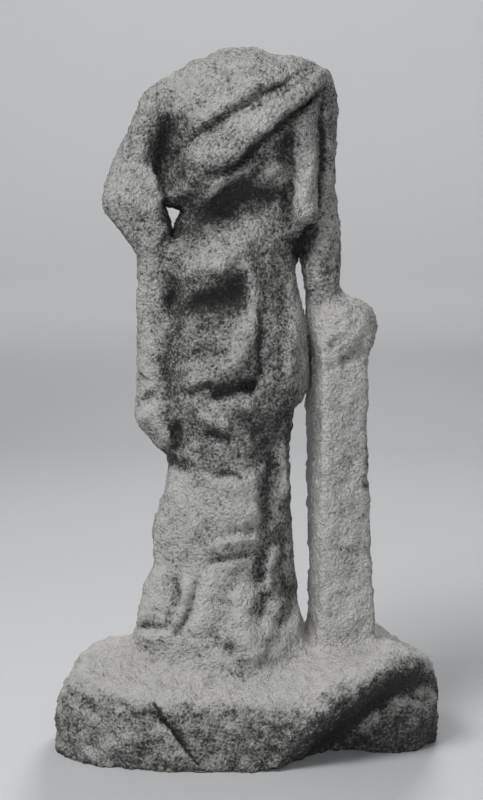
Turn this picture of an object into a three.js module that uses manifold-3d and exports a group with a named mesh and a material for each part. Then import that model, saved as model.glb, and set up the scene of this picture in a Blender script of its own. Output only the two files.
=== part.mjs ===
import * as THREE from 'three';
import { mergeVertices } from 'three/addons/utils/BufferGeometryUtils.js';
import Module from 'manifold-3d';

// A draped standing figure without its head, one arm bent under the mantle and the other resting on a
// pillar, on a rough plinth. Figure, pillar and plinth are one block of weathered marble, so they are
// one solid. Sizes are in millimetres, with +Z up, the front towards -Y and the origin under the
// middle of the plinth.

// Driving sizes
const FIGURE_HEIGHT = 757; // from the crown of the plinth to the top of the shoulders
const PLINTH_WIDTH = 500;
const PLINTH_DEPTH = 248;
const PLINTH_THICKNESS = 143; // at its crown, under the figure
const PLINTH_EDGE = 88; // height of its front edge, below the crown
const PILLAR_WIDTH = 66;
const PILLAR_DEPTH = 80;
const PILLAR_TURN = 15; // degrees that its face turns towards the right
const TRIANGLES = 9600; // facets of the finished solid

// The figure's proportions are shares of its own height, squared up on a drawing grid as a carver
// does: u steps run across from the middle of the plinth, w steps run up from the ground line, as
// seen from in front and a little above.
const CROWN = 112; // steps from the ground to the plinth's crown
const FIGURE_STEPS = 594;
const STEP = FIGURE_HEIGHT / FIGURE_STEPS;
const EYE = { distance: 2100, side: -4.75, tilt: THREE.MathUtils.degToRad(10), level: 373 };
const COS = Math.cos(EYE.tilt);
const SIN = Math.sin(EYE.tilt);
// The eye is as high as it must be to see the plinth's front foot on the ground line, where w is 0.
const FOOT = 96.3; // steps from the figure's middle plane to that foot
const EYE_HEIGHT =
  (EYE.level * (1 - (FOOT * COS) / EYE.distance) - FOOT * SIN) / (COS - (EYE.level * SIN) / EYE.distance);

const SAW = 12; // spare stone below the ground line

const toHeight = (steps) => PLINTH_THICKNESS + (steps - CROWN) * STEP;

// The point in millimetres that is seen at (u, w) and lies y steps behind the figure's middle plane.
function at(u, w, y = 0) {
  const slope = (w - EYE.level) / EYE.distance;
  const rise = (w - EYE.level + y * (slope * COS - SIN)) / (COS + slope * SIN);
  const away = (EYE.distance + y * COS - rise * SIN) / EYE.distance;
  return [((u - EYE.side) * away + EYE.side) * STEP, y * STEP, toHeight(rise + EYE_HEIGHT)];
}

// The grid place (u, w) at which a point in millimetres is seen.
function seen(x, y, z) {
  const rise = (z - PLINTH_THICKNESS) / STEP + CROWN - EYE_HEIGHT;
  const back = y / STEP;
  const away = (EYE.distance + back * COS - rise * SIN) / EYE.distance;
  return [(x / STEP - EYE.side) / away + EYE.side, EYE.level + (back * SIN + rise * COS) / away];
}

const { clamp, lerp, smoothstep } = THREE.MathUtils;

// Rounded unions and cuts of two signed distances, blended over k millimetres.
function join(a, b, k) {
  const h = Math.max(k - Math.abs(a - b), 0) / k;
  return Math.min(a, b) - (h * h * k) / 4;
}
const cut = (a, b, k) => -join(-a, -b, k);

// A limb: round balls of radius r strung along grid places [u, w, y, r], as one smooth sleeve.
function limb(...balls) {
  const beads = balls.map(([u, w, y, r]) => [...at(u, w, y), r * STEP]);
  return (x, y, z) => {
    let nearest = Infinity;
    for (let i = 1; i < beads.length; i++) {
      const [ax, ay, az, ar] = beads[i - 1];
      const [bx, by, bz, br] = beads[i];
      const [dx, dy, dz] = [bx - ax, by - ay, bz - az];
      const along = (x - ax) * dx + (y - ay) * dy + (z - az) * dz;
      const t = clamp(along / (dx * dx + dy * dy + dz * dz), 0, 1);
      const gap = Math.hypot(x - ax - t * dx, y - ay - t * dy, z - az - t * dz) - lerp(ar, br, t);
      nearest = i === 1 ? gap : join(nearest, gap, 6 * STEP);
    }
    return nearest;
  };
}

// An egg: its centre, and half sizes across, deep and high.
function egg([cx, cy, cz], [rx, ry, rz]) {
  return (x, y, z) => {
    const p = [(x - cx) / rx, (y - cy) / ry, (z - cz) / rz];
    const k = Math.hypot(...p);
    const slope = Math.hypot(p[0] / rx, p[1] / ry, p[2] / rz);
    return slope > 0 ? (k * (k - 1)) / slope : -Math.min(rx, ry, rz);
  };
}
// An egg-shaped mass of the figure: its centre [u, w, y] on the grid, and half sizes in steps.
const mass = (place, halves) => egg(at(...place), halves.map((half) => half * STEP));

// A column of flattened ovals: each row is [w, left u, right u, front, back], from the top down.
function column(rows, squareness) {
  const levels = rows.map(([w, left, right, front, back]) => {
    const [x0, , z] = at(left, w);
    const [x1] = at(right, w);
    return { z, mid: (x0 + x1) / 2, half: (x1 - x0) / 2, front: front * STEP, back: back * STEP };
  });
  return (x, y, z) => {
    const last = levels.length - 2;
    let i = 0;
    while (i < last && z < levels[i + 1].z) i++;
    const [upper, lower] = [levels[i], levels[i + 1]];
    const t = clamp((upper.z - z) / (upper.z - lower.z), 0, 1);
    const s = t * t * (3 - 2 * t);
    const half = lerp(upper.half, lower.half, lerp(t, s, 0.5));
    const deep = y < 0 ? lerp(upper.front, lower.front, s) : lerp(upper.back, lower.back, s);
    const across = Math.abs(x - lerp(upper.mid, lower.mid, lerp(t, s, 0.5))) / half;
    const ring = (across ** squareness + (Math.abs(y) / deep) ** squareness) ** (1 / squareness);
    const side = (ring - 1) * Math.min(half, deep);
    const cap = Math.max(z - levels[0].z, levels[levels.length - 1].z - z);
    return cut(side, cap, 30 * STEP);
  };
}

// The body under the drapery, from the shoulders to the hem.
const body = column(
  [
    [706, -52, 44, 30, 34],
    [680, -74, 70, 44, 46],
    [645, -80, 74, 50, 50],
    [605, -80, 70, 44, 50],
    [570, -64, 62, 36, 48],
    [540, -66, 54, 42, 48],
    [505, -74, 51, 53, 52],
    [470, -76, 54, 50, 54],
    [450, -77, 60, 56, 54],
    [435, -78, 62, 59, 54],
    [390, -82, 62, 60, 54],
    [355, -82, 47, 58, 53],
    [305, -80, 44, 54, 52],
    [275, -84, 45, 54, 52],
    [245, -92, 47, 56, 52],
    [215, -92, 49, 58, 53],
    [185, -102, 52, 60, 54],
    [155, -109, 58, 62, 56],
    [130, -114, 64, 64, 58],
    [80, -116, 68, 66, 60],
  ],
  2.4,
);
const back = mass([-4, 664, 8], [88, 50, 62]);
const chest = limb([56, 694, -10, 20], [8, 680, -18, 34], [-28, 656, -20, 36], [-48, 632, -14, 28]);
const armpit = limb([-66, 650, 12, 34], [-76, 600, 14, 28], [-80, 556, 10, 20]);
const mantleRoll = limb(
  ...[[78, 692, -10, 11], [46, 678, -30, 16], [4, 644, -36, 26], [-40, 609, -32, 31], [-74, 594, 0, 24]],
);
const foldedLap = limb([-60, 512, -28, 20], [-28, 514, -34, 22], [0, 530, -32, 18]);
const bentThigh = mass([-26, 418, -27], [58, 33, 84]);
const frontShin = limb([-20, 400, -36, 26], [-16, 330, -34, 28], [-12, 240, -34, 28]);
const trailingHem = limb([-70, 250, -10, 24], [-76, 190, -16, 26], [-82, 150, -20, 30]);
const bentArm = limb(
  ...[[-80, 668, 4, 30], [-104, 624, -6, 24], [-118, 576, -8, 29], [-98, 530, -8, 27], [-90, 480, -8, 24]],
);
const hangingMantle = limb([-88, 500, -4, 22], [-90, 430, -8, 22], [-89, 366, -8, 23], [-74, 340, -8, 19]);
const restingArm = limb(
  ...[[77, 684, 4, 15], [75, 596, 4, 16], [74, 540, 6, 21], [77, 496, 8, 21], [80, 462, 8, 24]],
);
const shoulderFold = limb([64, 672, -18, 11], [60, 600, -22, 13], [59, 560, -24, 12], [54, 540, -22, 9]);
const wornFeet = limb([-8, 156, -44, 18], [2, 124, -58, 11]);
const pillarHead = mass([97, 447, -2], [34, 36, 33]);
const pillarTop = at(93, 440)[2];

// The pillar: a tapering square shaft with worn arrises, turned a little to the side.
const SHAFT = { across: 92, back: 3, lean: 2, taper: 0.14, worn: 6 }; // steps, and the taper as a share
function pillar(x, y, z) {
  const turn = THREE.MathUtils.degToRad(-PILLAR_TURN);
  const down = smoothstep(pillarTop - z, 0, pillarTop - PLINTH_THICKNESS);
  const spread = 1 + SHAFT.taper * down;
  const [px, py] = [x - (SHAFT.across + SHAFT.lean * down) * STEP, y - SHAFT.back * STEP];
  const worn = SHAFT.worn * STEP;
  const qx = Math.abs(px * Math.cos(turn) - py * Math.sin(turn)) - (PILLAR_WIDTH / 2) * spread + worn;
  const qy = Math.abs(px * Math.sin(turn) + py * Math.cos(turn)) - (PILLAR_DEPTH / 2) * spread + worn;
  const side = Math.hypot(Math.max(qx, 0), Math.max(qy, 0)) + Math.min(Math.max(qx, qy), 0) - worn;
  return cut(side, z - pillarTop, 12 * STEP);
}

// The plinth: a worn boulder, domed to its crown, with a slanting break under its front right corner
// and a lump that still stands behind the break. Its places are shares of its half width, its half
// depth and its thickness.
const HALF_WIDTH = PLINTH_WIDTH / 2;
const HALF_DEPTH = PLINTH_DEPTH / 2;
const PLAN_SQUARENESS = 2.8;
const BELLY = { swell: 0.05, at: 0.4 }; // how much its sides swell, and at which share of the edge's height
const RISE = { by: 0.3, from: 0.12, to: 0.72 }; // the front edge is higher towards the right
const BREAK = { slope: [0.5, 0.5, 0.6], across: 0.143, up: 0.071 };
const WORN = { edge: 9, broken: 3, lump: 8 }; // how far its edges are rounded, in steps
const rightEnd = egg(
  [0.737 * HALF_WIDTH, 0.165 * HALF_DEPTH, 0.265 * PLINTH_THICKNESS],
  [0.296 * HALF_WIDTH, 0.637 * HALF_DEPTH, 0.553 * PLINTH_THICKNESS],
);
function plinth(x, y, z) {
  const across = Math.abs(x) / HALF_WIDTH;
  const deep = Math.abs(y) / HALF_DEPTH;
  const belly = 1 - BELLY.swell * (clamp(z / PLINTH_EDGE, -0.5, 1.5) - BELLY.at) ** 2;
  const plan = (across ** PLAN_SQUARENESS + deep ** PLAN_SQUARENESS) ** (1 / PLAN_SQUARENESS);
  const side = (plan / belly - 1) * HALF_DEPTH;
  const rise = smoothstep(x, RISE.from * HALF_WIDTH, RISE.to * HALF_WIDTH);
  const edge = PLINTH_EDGE + RISE.by * PLINTH_THICKNESS * rise;
  const dome = PLINTH_THICKNESS - (PLINTH_THICKNESS - edge) * deep ** 1.5;
  const block = cut(side, (z - dome) * 0.9, WORN.edge * STEP);
  const [right, forward, under] = BREAK.slope;
  const beside = x - BREAK.across * HALF_WIDTH;
  const broken = right * beside - forward * (y + HALF_DEPTH) - under * (z - BREAK.up * PLINTH_THICKNESS);
  return join(cut(block, broken, WORN.broken * STEP), rightEnd(x, y, z), WORN.lump * STEP);
}

// The block's outline in the front view, from the plinth's left foot over the figure to its right foot.
// The plinth's part of it is in shares of its half width and its thickness.
const onPlinth = ([across, up]) => [
  (across * HALF_WIDTH) / STEP,
  CROWN + ((up - 1) * PLINTH_THICKNESS) / STEP,
];
const plinthLeft = [
  ...[[-0.989, -0.53], [-0.989, 0.27], [-0.979, 0.49], [-0.963, 0.66], [-0.918, 0.82]],
  ...[[-0.867, 0.98], [-0.8, 1.123], [-0.693, 1.203]],
];
const plinthRight = [
  ...[[0.724, 1.239], [0.826, 1.123], [0.923, 1.052], [0.963, 0.909], [0.968, 0.66]],
  ...[[0.974, 0.42], [0.989, 0.27], [0.989, -0.53]],
];
const outline = [
  ...plinthLeft.map(onPlinth),
  ...[[-116, 140], [-109, 152], [-107, 169], [-100, 193], [-93, 208], [-94, 224], [-93, 248], [-85, 274]],
  ...[[-80, 295], [-85, 319], [-105, 339], [-111, 355], [-112, 424], [-109, 464], [-109, 513], [-117, 531]],
  ...[[-130, 547]],
  ...[[-142, 562], [-144, 571], [-136, 602], [-125, 628], [-115, 647], [-110, 665], [-98, 683], [-80, 695]],
  ...[[-60, 709], [-36, 719], [-18, 726], [7, 727], [25, 721], [50, 718], [68, 712], [81, 702], [88, 688]],
  ...[[91, 665], [90, 640], [90, 588], [94, 566], [94, 538], [93, 515], [94, 494], [97, 484], [107, 478]],
  ...[[121, 472], [130, 460], [131, 446], [127, 428], [122, 414], [122, 314], [124, 264], [125, 224]],
  ...[[128, 185], [132, 153]],
  ...plinthRight.map(onPlinth),
];

// Openings right through the block, as outlines in the front view.
const openings = [
  [[-84, 571], [-65, 563], [-69, 552], [-73, 541], [-79, 555]],
  [[49, 506], [55, 507], [59, 483], [60, 458], [56, 458], [53, 483]],
  [
    ...[[51, 370], [55, 364], [58, 313], [62, 254], [64, 215], [62, 185]],
    ...[[60, 152], [53, 170], [49, 205], [46, 254], [43, 313], [48, 364]],
  ],
];

// A carved stroke on the front view: a smooth path of [u, w] places, a height that stands out of the
// stone (or goes in, if negative), and the widths to its left and right, seen along the path.
function stroke(path, height, left, right = left) {
  const curve = new THREE.SplineCurve(path.map(([u, w]) => new THREE.Vector2(u, w)));
  return { points: curve.getSpacedPoints(8 * (path.length - 1)), height, left, right };
}

const strokes = [
  // the hollow beside the bent arm and the arm's inner edge
  stroke([[-78, 661], [-81, 633], [-80, 603], [-75, 577]], -14, 22, 11),
  stroke([[-96, 613], [-90, 589], [-84, 565], [-75, 531]], 7, 3, 13),
  // folds that fan from the shoulder over the chest and the mantle's roll, and the roll's sharp lower border
  stroke([[84, 707], [16, 687], [-20, 669], [-42, 647], [-63, 619]], 4, 6, 12),
  stroke([[86, 719], [54, 700], [11, 674], [-36, 646], [-64, 624], [-82, 603]], -5.5, 3.4, 3),
  stroke([[88, 715], [64, 698], [22, 672], [-28, 644], [-54, 627]], -3.5, 3, 3),
  stroke([[72, 687], [38, 663], [4, 633], [-24, 613], [-54, 593]], 3, 9, 12),
  stroke([[83, 693], [63, 673], [41, 656], [12, 629], [-12, 609], [-38, 589]], -12, 7, 2.5),
  stroke([[74, 675], [50, 649], [24, 619], [-6, 593], [-34, 573]], -5, 16, 8),
  // the mantle's second edge, the shaded waist and a small fold in it
  stroke([[16, 613], [-10, 595], [-36, 575], [-54, 565]], 6, 4, 7),
  stroke([[-56, 547], [-30, 561], [0, 579], [28, 581], [46, 589]], -9, 13, 12),
  stroke([[4, 589], [22, 597], [42, 608]], 5, 7, 4),
  // the fold that hangs from the shoulder, its edges, and the deep hollow under it
  stroke([[59, 673], [61, 623], [60, 573], [53, 547]], 4, 9, 9),
  stroke([[77, 689], [75, 643], [75, 593], [73, 555]], -5, 3, 3),
  stroke([[46, 655], [44, 603], [43, 543]], -6, 4, 9),
  stroke([[68, 549], [58, 529], [54, 507]], -13, 8, 9),
  // the lap over the belly and the hollow below it
  stroke([[-70, 511], [-42, 503], [-16, 511], [4, 533]], 8, 20, 10),
  stroke([[-68, 459], [-42, 469], [-17, 479], [0, 501]], -13, 9, 20),
  // upright folds in front
  stroke([[1, 527], [6, 493], [8, 461], [-2, 421], [-20, 401]], 7, 8, 13),
  stroke([[11, 487], [13, 443], [15, 411], [16, 387]], -5, 3.5, 3),
  stroke([[46, 511], [49, 453], [46, 407], [36, 381]], 4, 7, 8),
  // the bent thigh's slanting folds and the pocket under them
  stroke([[-65, 430], [-35, 443], [-14, 451]], -3, 5, 5),
  stroke([[-58, 419], [-30, 431]], -3, 4, 4),
  stroke([[-68, 387], [-40, 395], [-14, 410], [2, 427]], 5, 14, 6),
  stroke([[-68, 376], [-46, 384], [-28, 392]], -5, 4, 4),
  stroke([[-38, 376], [-12, 382], [11, 390]], -11, 8, 7),
  stroke([[0, 377], [8, 391], [15, 409]], -5, 5, 4),
  stroke([[-50, 361], [-6, 365], [44, 365]], 3, 7, 7),
  // the valley along the hanging mantle
  stroke([[-75, 517], [-71, 473], [-72, 433], [-77, 393], [-75, 349]], -9, 11, 9),
  // broken folds over the knee, and the end of the hanging mantle
  stroke([[-50, 359], [-32, 349], [-16, 345]], 6, 7, 7),
  stroke([[-46, 337], [-30, 337], [-14, 329]], -6, 4, 5),
  stroke([[-68, 357], [-67, 337], [-68, 317]], -7, 5, 7),
  stroke([[-100, 369], [-88, 349], [-74, 327]], 5, 9, 12),
  stroke([[-96, 321], [-70, 311], [-50, 299]], -8, 7, 6),
  stroke([[-6, 353], [16, 337], [24, 303]], -4, 12, 10),
  // the panel over the shin, its side in shade
  stroke([[-36, 295], [-16, 297], [4, 293]], -5, 5, 4),
  stroke([[-56, 287], [-54, 261], [-49, 233]], 4, 9, 6),
  stroke([[8, 305], [10, 268], [8, 235]], 5, 4, 36),
  stroke([[21, 323], [20, 273], [20, 207]], -5, 10, 5),
  stroke([[38, 333], [40, 303], [44, 273]], 5, 6, 7),
  stroke([[32, 253], [36, 213], [38, 173]], -4, 7, 7),
  // the mantle's hem
  stroke([[-50, 222], [-24, 229], [6, 232], [18, 237], [27, 251]], 4, 4, 5),
  stroke([[-34, 237], [-10, 240], [8, 242]], -3, 5, 3),
  stroke([[-48, 209], [-24, 212], [-6, 217], [10, 220]], -5, 3, 4),
  stroke([[16, 225], [16, 207], [13, 189]], -5, 7, 5),
  stroke([[30, 231], [24, 203], [20, 173]], 6, 7, 7),
  // the under-dress down to the plinth
  stroke([[-74, 199], [-71, 169], [-78, 149], [-86, 139]], -4, 5, 4),
  stroke([[-86, 213], [-88, 183], [-94, 155]], 4, 8, 8),
  stroke([[-47, 203], [-53, 167], [-64, 145], [-72, 133]], -4, 5, 4),
  stroke([[-60, 201], [-62, 173], [-72, 147]], 4, 6, 6),
  stroke([[-36, 201], [-40, 167], [-50, 139]], 4, 8, 8),
  stroke([[-20, 189], [-18, 167], [-22, 143]], -3, 6, 6),
  stroke([[-10, 189], [-6, 161], [-4, 141]], 2, 9, 9),
  stroke([[18, 217], [18, 177], [10, 137]], -5, 8, 9),
  stroke([[44, 193], [42, 163], [34, 139]], -5, 8, 10),
  stroke([[-108, 145], [-96, 144], [-82, 141]], -6, 5, 4),
  stroke([[-22, 129], [-16, 121], [-18, 113]], -4, 6, 6),
  // the worn pillar head, and a crease low on the shaft
  stroke([[76, 423], [96, 436], [120, 455]], -3, 4, 3),
  stroke([[78, 399], [100, 411], [122, 425]], -3, 4, 3),
  stroke([[84, 443], [100, 453], [116, 465]], -2.5, 3, 3),
  stroke([[90, 411], [106, 421], [122, 435]], -2.5, 3, 3),
  stroke([[96, 233], [108, 229], [120, 221]], 2, 4, 4),
  stroke([[98, 227], [108, 223], [118, 216]], -2, 4, 4),
  // the plinth's broken front corner
  stroke([[144, 105], [108, 79], [74, 61], [55, 46], [31, 15]], 3, 3, 12),
  stroke([[158, 97], [126, 69], [90, 43], [64, 17]], -6, 14, 8),
  stroke([[100, 29], [120, 45], [138, 51]], 5, 9, 9),
];

// The strokes' heights, drawn once on a fine sheet of the front view and then looked up.
const SHEET_MARGIN = 20; // steps past the outline
const SHEET = {
  left: Math.min(...outline.map(([u]) => u)) - SHEET_MARGIN,
  right: Math.max(...outline.map(([u]) => u)) + SHEET_MARGIN,
  foot: -SHEET_MARGIN,
  top: Math.max(...outline.map(([, w]) => w)) + SHEET_MARGIN,
  cell: 2,
};
const WAVER = 1.5; // how far a stroke strays to and fro, in steps
function drawSheet() {
  const columns = Math.ceil((SHEET.right - SHEET.left) / SHEET.cell) + 1;
  const rows = Math.ceil((SHEET.top - SHEET.foot) / SHEET.cell) + 1;
  const heights = new Float32Array(columns * rows);
  const outside = new Float32Array(columns * rows);
  const curve = new THREE.SplineCurve(outline.map(([u, w]) => new THREE.Vector2(u, w)));
  const rim = curve.getPoints(4 * outline.length);
  for (let r = 0; r < rows; r++)
    for (let c = 0; c < columns; c++)
      outside[r * columns + c] = offset(rim, SHEET.left + c * SHEET.cell, SHEET.foot + r * SHEET.cell);
  for (const { points, height, left, right } of strokes) {
    const reach = 2.6 * Math.max(left, right);
    const [c0, c1] = span(points.map((p) => p.x - SHEET.left), reach, columns);
    const [r0, r1] = span(points.map((p) => p.y - SHEET.foot), reach, rows);
    for (let r = r0; r <= r1; r++) {
      for (let c = c0; c <= c1; c++) {
        const u = SHEET.left + c * SHEET.cell;
        const w = SHEET.foot + r * SHEET.cell;
        const strayU = u + WAVER * Math.sin(w / 11 + 2 * Math.sin(u / 19));
        const strayW = w + WAVER * Math.sin(u / 12 + 2 * Math.sin(w / 23));
        heights[r * columns + c] += height * profile(points, left, right, strayU, strayW);
      }
    }
  }
  return { heights, outside, columns, rows };
}

// The first and last of the sheet's lines that lie within reach of some places along it.
function span(places, reach, lines) {
  const first = Math.round((Math.min(...places) - reach) / SHEET.cell);
  const last = Math.round((Math.max(...places) + reach) / SHEET.cell);
  return [Math.max(first, 0), Math.min(last, lines - 1)];
}

// Signed distance in steps from (u, w) to a closed rim, negative inside it.
function offset(rim, u, w) {
  let nearest = Infinity;
  let inside = false;
  for (let i = 0, j = rim.length - 1; i < rim.length; j = i++) {
    const [a, b] = [rim[j], rim[i]];
    const [du, dw] = [b.x - a.x, b.y - a.y];
    const t = clamp(((u - a.x) * du + (w - a.y) * dw) / (du * du + dw * dw + 1e-9), 0, 1);
    nearest = Math.min(nearest, (u - a.x - t * du) ** 2 + (w - a.y - t * dw) ** 2);
    if (a.y > w !== b.y > w && u < a.x + ((w - a.y) / dw) * du) inside = !inside;
  }
  return inside ? -Math.sqrt(nearest) : Math.sqrt(nearest);
}

// How much of a stroke's height shows at (u, w): a bell across it, fading out at both ends.
function profile(points, left, right, u, w) {
  let nearest = Infinity;
  let side = 1;
  let share = 0;
  for (let i = 1; i < points.length; i++) {
    const [a, b] = [points[i - 1], points[i]];
    const [du, dw] = [b.x - a.x, b.y - a.y];
    const t = clamp(((u - a.x) * du + (w - a.y) * dw) / (du * du + dw * dw), 0, 1);
    const gap = Math.hypot(u - a.x - t * du, w - a.y - t * dw);
    if (gap < nearest) {
      nearest = gap;
      side = du * (w - a.y) - dw * (u - a.x);
      share = (i - 1 + t) / (points.length - 1);
    }
  }
  const width = side > 0 ? left : right;
  const ends = smoothstep(Math.min(share, 1 - share), -0.03, 0.3);
  return ends * Math.exp(-((nearest / (width * (0.6 + 0.4 * ends))) ** 2));
}

const sheet = drawSheet();

// A value of the sheet at the grid place at which a point in millimetres is seen.
function onSheet(values, x, y, z) {
  const [u, w] = seen(x, y, z);
  const c = clamp((u - SHEET.left) / SHEET.cell, 0, sheet.columns - 1.001);
  const r = clamp((w - SHEET.foot) / SHEET.cell, 0, sheet.rows - 1.001);
  const [ci, ri] = [Math.floor(c), Math.floor(r)];
  const k = ri * sheet.columns + ci;
  const low = lerp(values[k], values[k + 1], c - ci);
  const high = lerp(values[k + sheet.columns], values[k + sheet.columns + 1], c - ci);
  return STEP * lerp(low, high, r - ri);
}

// The carved height in millimetres at a point of the front, nothing on the back.
function carving(x, y, z) {
  const facing = 1 - smoothstep(y / STEP, -22, 12);
  return facing && facing * onSheet(sheet.heights, x, y, z);
}

// Folds of the mantle on the plainer back: long ridges that slant from the resting arm's shoulder.
function backFolds(x, y, z) {
  const above = smoothstep(z, PLINTH_THICKNESS, PLINTH_THICKNESS + 60 * STEP);
  const facing = smoothstep(y / STEP, 8, 30) * above;
  const slant = (x / STEP) * 0.055 + (z / STEP) * 0.028;
  return facing * STEP * (2.6 * Math.sin(slant * 2) + 1.6 * Math.sin(slant * 5 + 1));
}

// The whole block as one signed distance in millimetres, negative inside the stone.
const forms = [
  ...[[back, 26], [chest, 16], [armpit, 12], [mantleRoll, 11], [foldedLap, 18], [bentThigh, 30]],
  ...[[frontShin, 18], [trailingHem, 16], [bentArm, 10], [hangingMantle, 10], [restingArm, 6]],
  ...[[shoulderFold, 6], [wornFeet, 22]],
];
function stone(x, y, z) {
  let figure = body(x, y, z);
  for (const [form, blend] of forms) figure = join(figure, form(x, y, z), blend * STEP);
  figure -= backFolds(x, y, z);
  const support = join(pillar(x, y, z), pillarHead(x, y, z), 10 * STEP);
  const standing = join(figure, support, 4 * STEP);
  const block = join(standing, plinth(x, y, z), 12 * STEP) - carving(x, y, z);
  return Math.max(cut(block, onSheet(sheet.outside, x, y, z), 7 * STEP), -SAW - z);
}

// Fills the corner of every cell where the stone would touch itself along one edge or at one point only.
function openPinches(values, offsets) {
  const solid = (m) => values[m] < 0;
  const rings = [[0, 1, 3, 2], [4, 5, 7, 6], [0, 1, 5, 4], [2, 3, 7, 6], [0, 2, 6, 4], [1, 3, 7, 5]];
  const spans = [[0, 7], [1, 6], [2, 5], [3, 4]];
  const end = values.length - offsets[7];
  for (let again = true; again; ) {
    again = false;
    for (let m = 0; m < end; m++) {
      const filled = offsets.filter((o) => solid(m + o)).length;
      if (filled < 2 || filled > 6) continue;
      for (const ring of rings) {
        const [a, b, c, d] = ring.map((i) => m + offsets[i]);
        if (solid(a) !== solid(c) || solid(b) !== solid(d) || solid(a) === solid(b)) continue;
        values[solid(a) ? b : a] = -0.05;
        again = true;
      }
      for (const [i, j] of spans) {
        const [a, b] = [m + offsets[i], m + offsets[j]];
        if (solid(a) !== solid(b)) continue;
        const others = offsets.map((o) => m + o).filter((o) => o !== a && o !== b);
        if (others.some((o) => solid(o) === solid(a))) continue;
        values[solid(a) ? others[0] : a] = -0.05;
        again = true;
      }
    }
  }
}

// Turns the signed distance into a closed surface: one vertex in each cell that the surface crosses,
// and one square on each grid edge that it cuts.
function skin(field, low, high, cell) {
  const n = [0, 1, 2].map((i) => Math.ceil((high[i] - low[i]) / cell) + 1);
  const stride = [1, n[0], n[0] * n[1]];
  const values = new Float32Array(n[0] * n[1] * n[2]);
  for (let k = 0, m = 0; k < n[2]; k++)
    for (let j = 0; j < n[1]; j++)
      for (let i = 0; i < n[0]; i++, m++)
        values[m] = field(low[0] + i * cell, low[1] + j * cell, low[2] + k * cell);
  const corner = [0, 1, 2, 3, 4, 5, 6, 7].map((c) => [c & 1, (c >> 1) & 1, (c >> 2) & 1]);
  openPinches(values, corner.map(([a, b, c]) => a + b * stride[1] + c * stride[2]));
  const vertexOf = new Int32Array(values.length).fill(-1);
  const positions = [];
  const edges = [];
  for (let a = 0; a < 8; a++) for (const bit of [1, 2, 4]) if (!(a & bit)) edges.push([a, a | bit]);
  for (let k = 0; k < n[2] - 1; k++)
    for (let j = 0; j < n[1] - 1; j++)
      for (let i = 0; i < n[0] - 1; i++) {
        const base = i + j * stride[1] + k * stride[2];
        const v = corner.map(([a, b, c]) => values[base + a + b * stride[1] + c * stride[2]]);
        const sum = [0, 0, 0];
        let crossings = 0;
        for (const [a, b] of edges) {
          if (v[a] < 0 === v[b] < 0) continue;
          const t = v[a] / (v[a] - v[b]);
          for (let d = 0; d < 3; d++) sum[d] += lerp(corner[a][d], corner[b][d], t);
          crossings++;
        }
        if (!crossings) continue;
        vertexOf[base] = positions.length / 3;
        [i, j, k].forEach((at0, d) => positions.push(low[d] + (at0 + sum[d] / crossings) * cell));
      }
  const faces = [];
  for (let k = 1; k < n[2] - 1; k++)
    for (let j = 1; j < n[1] - 1; j++)
      for (let i = 1; i < n[0] - 1; i++) {
        const base = i + j * stride[1] + k * stride[2];
        for (let d = 0; d < 3; d++) {
          const inside = values[base] < 0;
          if (inside === values[base + stride[d]] < 0) continue;
          const [p, q] = [stride[(d + 1) % 3], stride[(d + 2) % 3]];
          const ring = [base, base - p, base - p - q, base - q].map((c) => vertexOf[c]);
          if (!inside) ring.reverse();
          faces.push([ring[0], ring[1], ring[2]], [ring[0], ring[2], ring[3]]);
        }
      }
  return { positions: Float64Array.from(positions), faces };
}

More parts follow.
